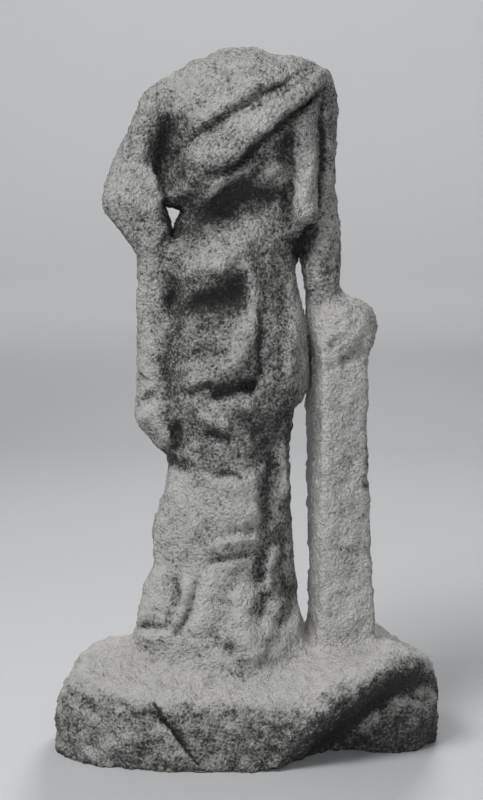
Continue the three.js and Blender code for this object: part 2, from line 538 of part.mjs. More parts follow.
// Edge collapses that change the surface least, by squared distances to the planes of the faces, until
// the wanted number of facets is left.
function simplify({ positions, faces }, wanted) {
  const count = positions.length / 3;
  const point = (v) => positions.subarray(3 * v, 3 * v + 3);
  const around = Array.from({ length: count }, () => new Set());
  faces.forEach((face, f) => face.forEach((v) => around[v].add(f)));
  const normalOf = (a, b, c) => {
    const x = [b[0] - a[0], b[1] - a[1], b[2] - a[2]];
    const y = [c[0] - a[0], c[1] - a[1], c[2] - a[2]];
    return [x[1] * y[2] - x[2] * y[1], x[2] * y[0] - x[0] * y[2], x[0] * y[1] - x[1] * y[0]];
  };
  const quadric = Array.from({ length: count }, () => new Float64Array(10));
  for (const face of faces) {
    const n = normalOf(...face.map(point));
    const size = Math.hypot(...n) + 1e-12;
    const [a, b, c] = n.map((s) => s / size);
    const [x, y, z] = point(face[0]);
    const d = -(a * x + b * y + c * z);
    const terms = [a * a, a * b, a * c, a * d, b * b, b * c, b * d, c * c, c * d, d * d];
    for (const v of face) terms.forEach((term, i) => (quadric[v][i] += (term * size) / 2));
  }
  const error = (q, x, y, z) => {
    const squares = q[0] * x * x + q[4] * y * y + q[7] * z * z + q[9];
    const mixed = q[1] * x * y + q[2] * x * z + q[5] * y * z;
    return squares + 2 * (mixed + q[3] * x + q[6] * y + q[8] * z);
  };
  const between = (p, q) => Math.hypot(q[0] - p[0], q[1] - p[1], q[2] - p[2]);

  // The best of the two ends and points between them for the vertex that is left.
  function collapse(a, b) {
    const q = quadric[a].map((s, i) => s + quadric[b][i]);
    const [pa, pb] = [point(a), point(b)];
    let best = null;
    for (const t of [0, 0.25, 0.5, 0.75, 1]) {
      const p = [0, 1, 2].map((d) => lerp(pa[d], pb[d], t));
      const cost = error(q, ...p) + 1e-3 * between(pa, pb);
      if (!best || cost < best.cost) best = { cost, p, a, b };
    }
    return best;
  }

  const heap = [];
  const age = new Int32Array(count);
  function push(a, b) {
    const item = { ...collapse(a, b), ages: age[a] + age[b] };
    let i = heap.push(item) - 1;
    while (i > 0 && heap[(i - 1) >> 1].cost > item.cost) {
      heap[i] = heap[(i - 1) >> 1];
      i = (i - 1) >> 1;
    }
    heap[i] = item;
  }
  function pop() {
    const top = heap[0];
    const last = heap.pop();
    if (!heap.length) return top;
    let i = 0;
    for (let child = 1; child < heap.length; child = 2 * i + 1) {
      if (child + 1 < heap.length && heap[child + 1].cost < heap[child].cost) child++;
      if (heap[child].cost >= last.cost) break;
      heap[i] = heap[child];
      i = child;
    }
    heap[i] = last;
    return top;
  }
  const neighbours = (v) => new Set([...around[v]].flatMap((f) => faces[f]).filter((o) => o !== v));
  for (const [a, b, c] of faces) for (const [p, q] of [[a, b], [b, c], [c, a]]) if (p < q) push(p, q);

  // A collapse is fair if it keeps the surface closed, turns no facet over and leaves no sliver.
  function fair({ a, b, p }) {
    const shared = [...neighbours(a)].filter((v) => neighbours(b).has(v));
    if (shared.length !== 2) return false;
    for (const [v, other] of [[a, b], [b, a]])
      for (const f of around[v]) {
        if (faces[f].includes(other)) continue;
        const before = faces[f].map(point);
        const after = faces[f].map((o, i) => (o === v ? p : before[i]));
        const [n0, n1] = [normalOf(...before), normalOf(...after)];
        const area = Math.hypot(...n1);
        const turned = n0[0] * n1[0] + n0[1] * n1[1] + n0[2] * n1[2] < 0.3 * Math.hypot(...n0) * area;
        const longest = Math.max(...[0, 1, 2].map((i) => between(after[i], after[(i + 1) % 3])));
        if (turned || area < 0.12 * longest * longest) return false;
      }
    return true;
  }

  let left = faces.length;
  while (left > wanted && heap.length) {
    const step = pop();
    const { a, b, p } = step;
    if (!around[a] || !around[b] || age[a] + age[b] !== step.ages || !fair(step)) continue;
    positions.set(p, 3 * a);
    quadric[b].forEach((s, i) => (quadric[a][i] += s));
    for (const f of around[b]) {
      if (faces[f].includes(a)) {
        faces[f].forEach((v) => v !== b && around[v].delete(f));
        faces[f] = null;
        left--;
      } else {
        faces[f] = faces[f].map((v) => (v === b ? a : v));
        around[a].add(f);
      }
    }
    around[b] = null;
    age[a]++;
    for (const v of neighbours(a)) push(a, v);
  }
  return { positions, faces: faces.filter(Boolean) };
}

const wasm = await Module();
wasm.setup();

function toSolid(geometry) {
  const plain = geometry.clone();
  plain.deleteAttribute('normal');
  plain.deleteAttribute('uv');
  const merged = mergeVertices(plain);
  const vertProperties = merged.attributes.position.array;
  const triVerts = new Uint32Array(merged.index.array);
  return new wasm.Manifold(new wasm.Mesh({ numProp: 3, vertProperties, triVerts }));
}

function toGeometry(solid) {
  const { vertProperties, triVerts } = solid.getMesh();
  const geometry = new THREE.BufferGeometry();
  geometry.setAttribute('position', new THREE.BufferAttribute(vertProperties, 3));
  geometry.setIndex(new THREE.BufferAttribute(triVerts, 1));
  geometry.computeVertexNormals();
  return geometry;
}

// The block is carved to a little below the ground line and then sawn off flat there.
const MARGIN = 14;
const CELL = 5.2 * STEP;
const FIGURE_REACH = 90; // steps that the figure and the pillar reach to the front and the back at most
const drawn = outline.map(([u, w]) => at(u, w));
const reachAcross = Math.max(HALF_WIDTH, ...drawn.map(([x]) => Math.abs(x))) + MARGIN;
const reachDeep = Math.max(HALF_DEPTH, FIGURE_REACH * STEP) + MARGIN;
const summit = Math.max(...drawn.map(([, , z]) => z)) + MARGIN;
const low = [-reachAcross, -reachDeep, -SAW - MARGIN];
const rough = skin(stone, low, [reachAcross, reachDeep, summit], CELL);
const facets = simplify(rough, TRIANGLES);
const carved = new THREE.BufferGeometry();
carved.setAttribute('position', new THREE.BufferAttribute(Float32Array.from(facets.positions), 3));
carved.setIndex(facets.faces.flat());
const ground = new THREE.BoxGeometry(4 * reachAcross, 4 * reachDeep, 8 * SAW).translate(0, 0, -4 * SAW);

const WEDGE_REACH = 120; // steps to the front and the back, well past the figure

// A wedge along the line of sight, that opens one of the outlines from front to back.
function wedge(rim) {
  const shape = new THREE.Shape(rim.map(([u, w]) => new THREE.Vector2(u, w)));
  const geometry = new THREE.ExtrudeGeometry(shape, { depth: 1, bevelEnabled: false });
  const position = geometry.attributes.position;
  for (let i = 0; i < position.count; i++) {
    const y = position.getZ(i) > 0.5 ? -WEDGE_REACH : WEDGE_REACH;
    position.setXYZ(i, ...at(position.getX(i), position.getY(i), y));
  }
  return geometry;
}

let block = toSolid(carved).subtract(toSolid(ground));
for (const rim of openings) block = block.subtract(toSolid(wedge(rim)));

const marble = new THREE.MeshStandardMaterial({ color: 0xb4b2ac, roughness: 0.88, metalness: 0 });
const figure = new THREE.Mesh(toGeometry(block), marble);
figure.name = 'figure_on_plinth';

const sculpture = new THREE.Group();
sculpture.add(figure);
export default sculpture;
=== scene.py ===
"""A weathered marble statue: a draped standing figure without its head, with a pillar under one arm, on a
rough plinth. All of it is one block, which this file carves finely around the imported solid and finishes."""

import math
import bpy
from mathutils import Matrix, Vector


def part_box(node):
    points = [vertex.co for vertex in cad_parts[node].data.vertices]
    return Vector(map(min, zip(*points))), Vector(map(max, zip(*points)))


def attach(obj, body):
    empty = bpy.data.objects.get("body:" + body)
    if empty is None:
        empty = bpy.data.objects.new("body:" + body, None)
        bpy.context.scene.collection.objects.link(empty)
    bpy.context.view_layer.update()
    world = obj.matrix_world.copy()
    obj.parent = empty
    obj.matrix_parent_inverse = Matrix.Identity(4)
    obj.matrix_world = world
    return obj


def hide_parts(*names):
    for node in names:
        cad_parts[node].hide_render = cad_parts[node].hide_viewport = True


bl_info = {
    "name": "Marble figure on a plinth",
    "version": (1, 0, 0),
    "blender": (4, 5, 0),
    "location": "View3D > Sidebar > Statue",
    "description": "Carves and finishes a worn marble figure with its pillar and plinth, and lights it",
    "category": "Object",
}

import bpy
import numpy as np
from bpy.props import FloatProperty, FloatVectorProperty, IntProperty, PointerProperty
from mathutils import Vector

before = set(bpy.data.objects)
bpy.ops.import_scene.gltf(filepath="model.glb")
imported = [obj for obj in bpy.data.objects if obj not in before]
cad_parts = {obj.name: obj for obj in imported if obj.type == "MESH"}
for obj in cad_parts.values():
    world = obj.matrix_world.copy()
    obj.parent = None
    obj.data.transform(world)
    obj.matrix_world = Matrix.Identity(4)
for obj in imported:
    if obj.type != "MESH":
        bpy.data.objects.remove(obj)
NODE = "figure_on_plinth"
PACKED_LOW, PACKED_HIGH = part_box(NODE)

# The drawing grid on which the figure is squared up, as seen from in front and a little above: u steps
# run across from the middle of the plinth and w steps run up from the ground line.
SUMMIT = 703.2  # steps from the ground to the top of the shoulders
CROWN = 112.2  # steps from the ground to the plinth's crown
STEP = (PACKED_HIGH.z - PACKED_LOW.z) / SUMMIT
EYE_DISTANCE = 2100.0  # from the eye to the figure's middle plane
EYE_HEIGHT = 355.8  # above the ground, where the line of sight crosses that plane
EYE_SIDE = -4.75  # of the line of sight, from the middle of the plinth
EYE_LEVEL = 373.0  # the drawing's row that the line of sight meets
EYE_TILT = math.radians(10)
COS, SIN = math.cos(EYE_TILT), math.sin(EYE_TILT)
IMAGE_LONG_SIDE = 800  # pixels, and one step is one pixel at the figure's middle plane

# Sizes of the pillar and the plinth in steps
PLINTH_HALF_WIDTH = (PACKED_HIGH.x - PACKED_LOW.x) / 2 / STEP
PLINTH_HALF_DEPTH = (PACKED_HIGH.y - PACKED_LOW.y) / 2 / STEP
PLINTH_EDGE = 69.0  # from the ground to the rim, where its top rounds over into its sides
PLINTH_SQUARENESS = 2.8
RIM_RISE = 0.3  # the rim climbs to the right by that share of the crown
RIM_RISE_SPAN = (0.12, 0.72)  # between these shares of the half width
RIM_WEAR, BREAK_WEAR, LUMP_WEAR = 9, 3, 8  # how far its edges are rounded
BREAK_START = (28.0, 8.0)  # across and up, where the slanting break begins in front
BREAK_SLOPE = (0.5, 0.5, 0.6)  # to the right, forward and down
PILLAR_HALF_WIDTH = 25.9
PILLAR_HALF_DEPTH = 31.4
PILLAR_TURN = math.radians(-15)
PILLAR_PLACE = (92.0, 3.0)
PILLAR_LEAN = 2.0  # its foot stands that far to the right of its top
PILLAR_SPREAD = 0.14  # its foot is wider by that share
PILLAR_WEAR = 6.0  # radius of its worn corners
PILLAR_TOP_WEAR = 12.0


def at(u, w, y=0.0):
    """The point, in steps, that is seen at (u, w) and lies y steps behind the figure's middle plane."""
    slope = (w - EYE_LEVEL) / EYE_DISTANCE
    rise = (w - EYE_LEVEL + y * (slope * COS - SIN)) / (COS + slope * SIN)
    away = (EYE_DISTANCE + y * COS - rise * SIN) / EYE_DISTANCE
    return (u - EYE_SIDE) * away + EYE_SIDE, y, rise + EYE_HEIGHT


def seen(p):
    """The grid places at which points in steps are seen."""
    rise = p[:, 2] - EYE_HEIGHT
    away = (EYE_DISTANCE + p[:, 1] * COS - rise * SIN) / EYE_DISTANCE
    u = (p[:, 0] - EYE_SIDE) / away + EYE_SIDE
    return u, EYE_LEVEL + (p[:, 1] * SIN + rise * COS) / away


def smoothstep(x, low, high):
    """0 below low and 1 above high, with a smooth ramp between."""
    t = np.clip((x - low) / (high - low), 0, 1)
    return t * t * (3 - 2 * t)


def falling(x, low, high):
    """1 below low and 0 above high, with a smooth ramp between."""
    return 1 - smoothstep(x, low, high)


def join(a, b, k):
    """Rounded union of two signed distances, blended over k steps."""
    h = np.maximum(k - np.abs(a - b), 0) / k
    return np.minimum(a, b) - h * h * k / 4


def cut(a, b, k):
    """Rounded intersection of two signed distances."""
    return -join(-a, -b, k)


FAR = 60.0  # steps, more than any blend reaches
BEAD_BLEND = 6


def limb(*balls):
    """Round balls of radius r strung along grid places (u, w, y, r), as one smooth sleeve."""
    beads = np.array([(*at(u, w, y), r) for u, w, y, r in balls])
    low = (beads[:, :3] - beads[:, 3:]).min(0)
    high = (beads[:, :3] + beads[:, 3:]).max(0)

    def distance(p):
        nearest = np.full(len(p), FAR)
        for a, b in zip(beads, beads[1:]):
            line = b[:3] - a[:3]
            t = np.clip((p - a[:3]) @ line / (line @ line), 0, 1)
            gap = np.linalg.norm(p - a[:3] - t[:, None] * line, axis=1) - a[3] - t * (b[3] - a[3])
            nearest = join(nearest, gap, BEAD_BLEND)
        return nearest

    return distance, low, high


def mass(centre, halves):
    """An egg-shaped mass: its centre on the grid, and half sizes across, deep and high."""
    middle, halves = np.array(at(*centre)), np.array(halves, float)

    def distance(p):
        q = (p - middle) / halves
        k = np.linalg.norm(q, axis=1)
        return k * (k - 1) / (np.linalg.norm(q / halves, axis=1) + 1e-9)

    return distance, middle - halves, middle + halves


BODY = [  # (w, left u, right u, front, back) of the body under its drapery, from the shoulders down
    (706, -52, 44, 30, 34),
    (680, -74, 70, 44, 46),
    (645, -80, 74, 50, 50),
    (605, -80, 70, 44, 50),
    (570, -64, 62, 36, 48),
    (540, -66, 54, 42, 48),
    (505, -74, 51, 53, 52),
    (470, -76, 54, 50, 54),
    (450, -77, 60, 56, 54),
    (435, -78, 62, 59, 54),
    (390, -82, 62, 60, 54),
    (355, -82, 47, 58, 53),
    (305, -80, 44, 54, 52),
    (275, -84, 45, 54, 52),
    (245, -92, 47, 56, 52),
    (215, -92, 49, 58, 53),
    (185, -102, 52, 60, 54),
    (155, -109, 58, 62, 56),
    (130, -114, 64, 64, 58),
    (80, -116, 68, 66, 60),
]
BODY_SQUARENESS = 2.4
BODY_END_WEAR = 30


def body(p):
    """A column of flattened ovals through the levels of BODY."""
    w, left, right, front, back = np.array(BODY, float)[::-1].T
    levels = np.array([at(0, level)[2] for level in w])
    x0 = np.array([at(u, level)[0] for u, level in zip(left, w)])
    x1 = np.array([at(u, level)[0] for u, level in zip(right, w)])
    x, y, z = p.T
    place = np.interp(z, levels, np.arange(len(levels)))
    eased = np.floor(place) + smoothstep(place - np.floor(place), 0, 1)
    half_eased = (place + eased) / 2
    rank = np.arange(len(levels))
    half = np.interp(half_eased, rank, (x1 - x0) / 2)
    middle = np.interp(half_eased, rank, (x1 + x0) / 2)
    deep = np.where(y < 0, np.interp(eased, rank, front), np.interp(eased, rank, back))
    k = BODY_SQUARENESS
    ring = ((np.abs(x - middle) / half) ** k + (np.abs(y) / deep) ** k) ** (1 / k)
    side = (ring - 1) * np.minimum(half, deep)
    return cut(side, np.maximum(z - levels[-1], levels[0] - z), BODY_END_WEAR)


DRAPED = [  # forms that swell out of the body, with the width of their blend
    # the back and the worn hump where the neck was
    (mass((-4, 664, 8), (88, 50, 62)), 26),
    # chest, armpit, and the mantle's roll across them
    (limb((56, 694, -10, 20), (8, 680, -18, 34), (-28, 656, -20, 36), (-48, 632, -14, 28)), 16),
    (limb((-66, 650, 12, 34), (-76, 600, 14, 28), (-80, 556, 10, 20)), 12),
    (
        limb(
            *[(78, 692, -10, 11), (46, 678, -30, 16), (4, 644, -36, 26)],
            *[(-40, 609, -32, 31), (-74, 594, 0, 24)],
        ),
        11,
    ),
    # folded lap at the waist, bent thigh, shin in front and trailing hem
    (limb((-60, 512, -28, 20), (-28, 514, -34, 22), (0, 530, -32, 18)), 18),
    (mass((-26, 418, -27), (58, 33, 84)), 30),
    (limb((-20, 400, -36, 26), (-16, 330, -34, 28), (-12, 240, -34, 28)), 18),
    (limb((-70, 250, -10, 24), (-76, 190, -16, 26), (-82, 150, -20, 30)), 16),
    # bent arm under the mantle, and the mantle that hangs from it
    (
        limb(
            *[(-80, 668, 4, 30), (-104, 624, -6, 24), (-118, 576, -8, 29)],
            *[(-98, 530, -8, 27), (-90, 480, -8, 24)],
        ),
        10,
    ),
    (limb((-88, 500, -4, 22), (-90, 430, -8, 22), (-89, 366, -8, 23), (-74, 340, -8, 19)), 10),
    # resting arm and the fold that hangs from its shoulder
    (limb((77, 684, 4, 15), (75, 596, 4, 16), (74, 540, 6, 21), (77, 496, 8, 21), (80, 462, 8, 24)), 6),
    (limb((64, 672, -18, 11), (60, 600, -22, 13), (59, 560, -24, 12), (54, 540, -22, 9)), 6),
    # worn feet under the hem
    (limb((-8, 156, -44, 18), (2, 124, -58, 11)), 22),
]
PILLAR_HEAD = mass((97, 447, -2), (34, 36, 33))
PILLAR_TOP = at(93, 440)[2]
PLINTH_RIGHT_END = mass((140, 66, 16), (58, 62, 62))

# The block's outline in the front view, from the plinth's left foot over the figure to its right foot
OUTLINE = [
    *[(-194, -60), (-194, 30), (-192, 55), (-189, 74), (-180, 92), (-170, 110), (-157, 126), (-136, 135)],
    *[(-116, 140), (-109, 152), (-107, 169), (-100, 193), (-93, 208), (-94, 224), (-93, 248), (-85, 274)],
    *[(-80, 295), (-85, 319), (-105, 339), (-111, 355), (-112, 424), (-109, 464), (-109, 513), (-117, 531)],
    *[(-130, 547), (-142, 562), (-144, 571), (-136, 602), (-125, 628), (-115, 647), (-110, 665), (-98, 683)],
    *[(-80, 695), (-60, 709), (-36, 719), (-18, 726), (7, 727), (25, 721), (50, 718), (68, 712), (81, 702)],
    *[(88, 688), (91, 665), (90, 640), (90, 588), (94, 566), (94, 538), (93, 515), (94, 494), (97, 484)],
    *[(107, 478), (121, 472), (130, 460), (131, 446), (127, 428), (122, 414), (122, 385), (122, 314)],
    *[(124, 264), (125, 224), (128, 185), (132, 153), (142, 139), (162, 126), (181, 118), (189, 102)],
    *[(190, 74), (191, 47), (194, 30), (194, -60)],
]
OPENINGS = [  # right through the block: inside the bent arm, beside the resting arm, beside the pillar
    [(-84, 571), (-65, 563), (-69, 552), (-73, 541), (-79, 555)],
    [(49, 506), (55, 507), (59, 483), (60, 458), (56, 458), (53, 483)],
    [
        *[(51, 370), (55, 364), (58, 313), (62, 254), (64, 215), (62, 185), (60, 152)],
        *[(53, 170), (49, 205), (46, 254), (43, 313), (48, 364)],
    ],
]

# Carved strokes on the front view: path, height out of the stone (or into it), widths to left and right
STROKES = [
    # the hollow beside the bent arm and the arm's inner edge
    ([(-78, 661), (-81, 633), (-80, 603), (-75, 577)], -14, 22, 11),
    ([(-96, 613), (-90, 589), (-84, 565), (-75, 531)], 7, 3, 13),
    # folds that fan from the shoulder over the chest and the mantle's roll, and the roll's sharp border
    ([(84, 707), (16, 687), (-20, 669), (-42, 647), (-63, 619)], 4, 6, 12),
    ([(86, 719), (54, 700), (11, 674), (-36, 646), (-64, 624), (-82, 603)], -5.5, 3.4, 3),
    ([(88, 715), (64, 698), (22, 672), (-28, 644), (-54, 627)], -3.5, 3, 3),
    ([(72, 687), (38, 663), (4, 633), (-24, 613), (-54, 593)], 3, 9, 12),
    ([(83, 693), (63, 673), (41, 656), (12, 629), (-12, 609), (-38, 589)], -12, 7, 2.5),
    ([(74, 675), (50, 649), (24, 619), (-6, 593), (-34, 573)], -5, 16, 8),
    # the mantle's second edge, the shaded waist and a small fold in it
    ([(16, 613), (-10, 595), (-36, 575), (-54, 565)], 6, 4, 7),
    ([(-56, 547), (-30, 561), (0, 579), (28, 581), (46, 589)], -9, 13, 12),
    ([(4, 589), (22, 597), (42, 608)], 5, 7, 4),
    # the fold that hangs from the shoulder, its edges, and the deep hollow under it
    ([(59, 673), (61, 623), (60, 573), (53, 547)], 4, 9, 9),
    ([(77, 689), (75, 643), (75, 593), (73, 555)], -5, 3, 3),
    ([(46, 655), (44, 603), (43, 543)], -6, 4, 9),
    ([(68, 549), (58, 529), (54, 507)], -13, 8, 9),
    # the lap over the belly and the hollow below it
    ([(-70, 511), (-42, 503), (-16, 511), (4, 533)], 8, 20, 10),
    ([(-68, 459), (-42, 469), (-17, 479), (0, 501)], -13, 9, 20),
    # upright folds in front
    ([(1, 527), (6, 493), (8, 461), (-2, 421), (-20, 401)], 7, 8, 13),
    ([(11, 487), (13, 443), (15, 411), (16, 387)], -5, 3.5, 3),
    ([(46, 511), (49, 453), (46, 407), (36, 381)], 4, 7, 8),
    # the bent thigh's slanting folds and the pocket under them
    ([(-65, 430), (-35, 443), (-14, 451)], -3, 5, 5),
    ([(-58, 419), (-30, 431)], -3, 4, 4),
    ([(-68, 387), (-40, 395), (-14, 410), (2, 427)], 5, 14, 6),
    ([(-68, 376), (-46, 384), (-28, 392)], -5, 4, 4),
    ([(-38, 376), (-12, 382), (11, 390)], -11, 8, 7),
    ([(0, 377), (8, 391), (15, 409)], -5, 5, 4),
    ([(-50, 361), (-6, 365), (44, 365)], 3, 7, 7),
    # the valley along the hanging mantle
    ([(-75, 517), (-71, 473), (-72, 433), (-77, 393), (-75, 349)], -9, 11, 9),
    # broken folds over the knee, and the end of the hanging mantle
    ([(-50, 359), (-32, 349), (-16, 345)], 6, 7, 7),
    ([(-46, 337), (-30, 337), (-14, 329)], -6, 4, 5),
    ([(-68, 357), (-67, 337), (-68, 317)], -7, 5, 7),
    ([(-110, 401), (-103, 396), (-96, 392)], -4, 2.5, 2.5),
    ([(-108, 373), (-100, 376), (-92, 379)], -4, 2.5, 2.5),
    ([(-100, 369), (-88, 349), (-74, 327)], 5, 9, 12),
    ([(-96, 321), (-70, 311), (-50, 299)], -8, 7, 6),
    ([(-6, 353), (16, 337), (24, 303)], -4, 12, 10),
    # the panel over the shin, its side in shade
    ([(-36, 295), (-16, 297), (4, 293)], -5, 5, 4),
    ([(-56, 287), (-54, 261), (-49, 233)], 4, 9, 6),
    ([(8, 305), (10, 268), (8, 235)], 5, 4, 36),
    ([(21, 323), (20, 273), (20, 207)], -5, 10, 5),
    ([(38, 333), (40, 303), (44, 273)], 5, 6, 7),
    ([(32, 253), (36, 213), (38, 173)], -4, 7, 7),
    # the mantle's hem
    ([(-50, 222), (-24, 229), (6, 232), (18, 237), (27, 251)], 4, 4, 5),
    ([(-34, 237), (-10, 240), (8, 242)], -3, 5, 3),
    ([(-48, 209), (-24, 212), (-6, 217), (10, 220)], -5, 3, 4),
    ([(16, 225), (16, 207), (13, 189)], -5, 7, 5),
    ([(30, 231), (24, 203), (20, 173)], 6, 7, 7),
    # the under-dress down to the plinth
    ([(-74, 199), (-71, 169), (-78, 149), (-86, 139)], -4, 5, 4),
    ([(-86, 213), (-88, 183), (-94, 155)], 4, 8, 8),
    ([(-47, 203), (-53, 167), (-64, 145), (-72, 133)], -4, 5, 4),
    ([(-60, 201), (-62, 173), (-72, 147)], 4, 6, 6),
    ([(-36, 201), (-40, 167), (-50, 139)], 4, 8, 8),
    ([(-20, 189), (-18, 167), (-22, 143)], -3, 6, 6),
    ([(-10, 189), (-6, 161), (-4, 141)], 2, 9, 9),
    ([(18, 217), (18, 177), (10, 137)], -5, 8, 9),
    ([(44, 193), (42, 163), (34, 139)], -5, 8, 10),
    ([(-108, 145), (-96, 144), (-82, 141)], -6, 5, 4),
    ([(-22, 129), (-16, 121), (-18, 113)], -4, 6, 6),
    # the worn pillar head, and a crease low on the shaft
    ([(76, 423), (96, 436), (120, 455)], -3, 4, 3),
    ([(78, 399), (100, 411), (122, 425)], -3, 4, 3),
    ([(84, 443), (100, 453), (116, 465)], -2.5, 3, 3),
    ([(90, 411), (106, 421), (122, 435)], -2.5, 3, 3),
    ([(96, 233), (108, 229), (120, 221)], 2, 4, 4),
    ([(98, 227), (108, 223), (118, 216)], -2, 4, 4),
    # the plinth's broken front corner
    ([(144, 105), (108, 79), (74, 61), (55, 46), (31, 15)], 3, 3, 12),
    ([(158, 97), (126, 69), (90, 43), (64, 17)], -6, 14, 8),
    ([(100, 29), (120, 45), (138, 51)], 5, 9, 9),
    # the crack in the plinth's front
    ([(-90, 65), (-81, 50), (-70, 37), (-50, 11)], -6, 2.2, 2.2),
]

# The sheet that the strokes are drawn on: its edges, just outside the outline, and its cell, in steps
SHEET_LEFT, SHEET_RIGHT, SHEET_FOOT, SHEET_TOP, SHEET_CELL = -215.0, 215.0, -10.0, 750.0, 1.0
WAVER = 1.5  # how far a stroke strays to and fro, in steps
STROKE_REACH = 2.6  # a stroke fades to nothing at that many times its width


def spline(points, per_span, closed=False):
    """Points along a smooth curve through the given ones (Catmull-Rom)."""
    p = np.array(points, float)
    ends = (p[-1:], p[:2]) if closed else (p[:1], p[-1:])
    p = np.vstack([ends[0], p, ends[1]])
    t = np.linspace(0, 1, per_span, endpoint=False)[:, None]
    spans = [
        0.5 * (2 * b + (c - a) * t + (2 * a - 5 * b + 4 * c - d) * t**2 + (3 * b - a - 3 * c + d) * t**3)
        for a, b, c, d in zip(p, p[1:], p[2:], p[3:])
    ]
    return np.vstack(spans if closed else [*spans, p[-2:-1]])


def to_line(points, u, w):
    """Distance from grid places to a broken line, on which side they lie, and how far along it."""
    nearest = np.full(u.shape, np.inf)
    side, share = np.zeros(u.shape), np.zeros(u.shape)
    for i, (a, b) in enumerate(zip(points, points[1:])):
        du, dw = b - a
        t = np.clip(((u - a[0]) * du + (w - a[1]) * dw) / (du * du + dw * dw + 1e-9), 0, 1)
        gap = np.hypot(u - a[0] - t * du, w - a[1] - t * dw)
        closer = gap < nearest
        nearest = np.where(closer, gap, nearest)
        side = np.where(closer, du * (w - a[1]) - dw * (u - a[0]), side)
        share = np.where(closer, (i + t) / (len(points) - 1), share)
    return nearest, side, share


def offset(rim, u, w):
    """Signed distance from grid places to a closed rim, negative inside it."""
    ring = np.vstack([rim, rim[:1]])
    inside = np.zeros(u.shape, bool)
    for (au, aw), (bu, bw) in zip(ring, ring[1:]):
        if aw != bw:
            inside ^= ((aw > w) != (bw > w)) & (u < au + (w - aw) / (bw - aw) * (bu - au))
    gap = to_line(ring, u, w)[0]
    return np.where(inside, -gap, gap)


def draw_sheet():
    """The strokes' heights and the distance outside the outline, drawn once over the front view."""
    us = np.arange(SHEET_LEFT, SHEET_RIGHT + SHEET_CELL, SHEET_CELL)
    ws = np.arange(SHEET_FOOT, SHEET_TOP + SHEET_CELL, SHEET_CELL)
    u, w = np.meshgrid(us, ws, indexing="ij")
    heights = np.zeros(u.shape)
    wavered_u = u + WAVER * np.sin(w / 11 + 2 * np.sin(u / 19))
    wavered_w = w + WAVER * np.sin(u / 12 + 2 * np.sin(w / 23))
    for path, height, left, right in STROKES:
        points = spline(path, 8)
        reach = STROKE_REACH * max(left, right)
        (u0, w0), (u1, w1) = points.min(0) - reach, points.max(0) + reach
        window = slice(*np.searchsorted(us, (u0, u1))), slice(*np.searchsorted(ws, (w0, w1)))
        gap, side, share = to_line(points, wavered_u[window], wavered_w[window])
        width = np.where(side > 0, left, right)
        ends = smoothstep(np.minimum(share, 1 - share), -0.03, 0.3)
        heights[window] += height * ends * np.exp(-((gap / (width * (0.6 + 0.4 * ends))) ** 2))
    outside = offset(spline(OUTLINE, 4, closed=True), u, w)
    for opening in OPENINGS:
        outside = np.maximum(outside, -offset(np.array(opening, float), u, w))
    return heights, outside


def on_sheet(values, p):
    """A value of the sheet at the grid places at which points are seen."""
    u, w = seen(p)
    c = np.clip((u - SHEET_LEFT) / SHEET_CELL, 0, values.shape[0] - 1.001)
    r = np.clip((w - SHEET_FOOT) / SHEET_CELL, 0, values.shape[1] - 1.001)
    i, j = c.astype(int), r.astype(int)
    s, t = c - i, r - j
    low = values[i, j] * (1 - s) + values[i + 1, j] * s
    high = values[i, j + 1] * (1 - s) + values[i + 1, j + 1] * s
    return low * (1 - t) + high * t


def pillar(p):
    """A tapering square shaft with worn arrises, turned a little to the side."""
    down = smoothstep(PILLAR_TOP - p[:, 2], 0, PILLAR_TOP - CROWN)
    px = p[:, 0] - PILLAR_PLACE[0] - PILLAR_LEAN * down
    py = p[:, 1] - PILLAR_PLACE[1]
    spread = 1 + PILLAR_SPREAD * down
    c, s = math.cos(PILLAR_TURN), math.sin(PILLAR_TURN)
    qx = np.abs(px * c - py * s) - PILLAR_HALF_WIDTH * spread + PILLAR_WEAR
    qy = np.abs(px * s + py * c) - PILLAR_HALF_DEPTH * spread + PILLAR_WEAR
    corner = np.hypot(np.maximum(qx, 0), np.maximum(qy, 0))
    side = corner + np.minimum(np.maximum(qx, qy), 0) - PILLAR_WEAR
    return cut(side, p[:, 2] - PILLAR_TOP, PILLAR_TOP_WEAR)


def plinth(p):
    """A worn boulder, domed to its crown, with a slanting break under its front right corner."""
    x, y, z = p.T
    across, deep = np.abs(x) / PLINTH_HALF_WIDTH, np.abs(y) / PLINTH_HALF_DEPTH
    belly = 1 - 0.05 * (np.clip(z / PLINTH_EDGE, -0.5, 1.5) - 0.4) ** 2
    k = PLINTH_SQUARENESS
    side = (((across / belly) ** k + (deep / belly) ** k) ** (1 / k) - 1) * PLINTH_HALF_DEPTH
    start, end = RIM_RISE_SPAN
    edge = PLINTH_EDGE + RIM_RISE * CROWN * smoothstep(x, start * PLINTH_HALF_WIDTH, end * PLINTH_HALF_WIDTH)
    dome = CROWN - (CROWN - edge) * deep**1.5
    block = cut(side, (z - dome) * 0.9, RIM_WEAR)
    right, forward, down = BREAK_SLOPE
    across_break, above_break = x - BREAK_START[0], z - BREAK_START[1]
    broken = right * across_break - forward * (y + PLINTH_HALF_DEPTH) - down * above_break
    return join(cut(block, broken, BREAK_WEAR), PLINTH_RIGHT_END[0](p), LUMP_WEAR)


BACK_FOLDS = [(2.6, 2, 0), (1.6, 5, 1)]  # two waves: height in steps, pace and shift


def back_folds(p):
    """Folds of the mantle on the plainer back: long ridges that slant from the resting arm's shoulder."""
    facing = smoothstep(p[:, 1], 8, 30) * smoothstep(p[:, 2], CROWN, CROWN + 60)
    slant = p[:, 0] * 0.055 + p[:, 2] * 0.028
    return facing * sum(height * np.sin(slant * pace + shift) for height, pace, shift in BACK_FOLDS)


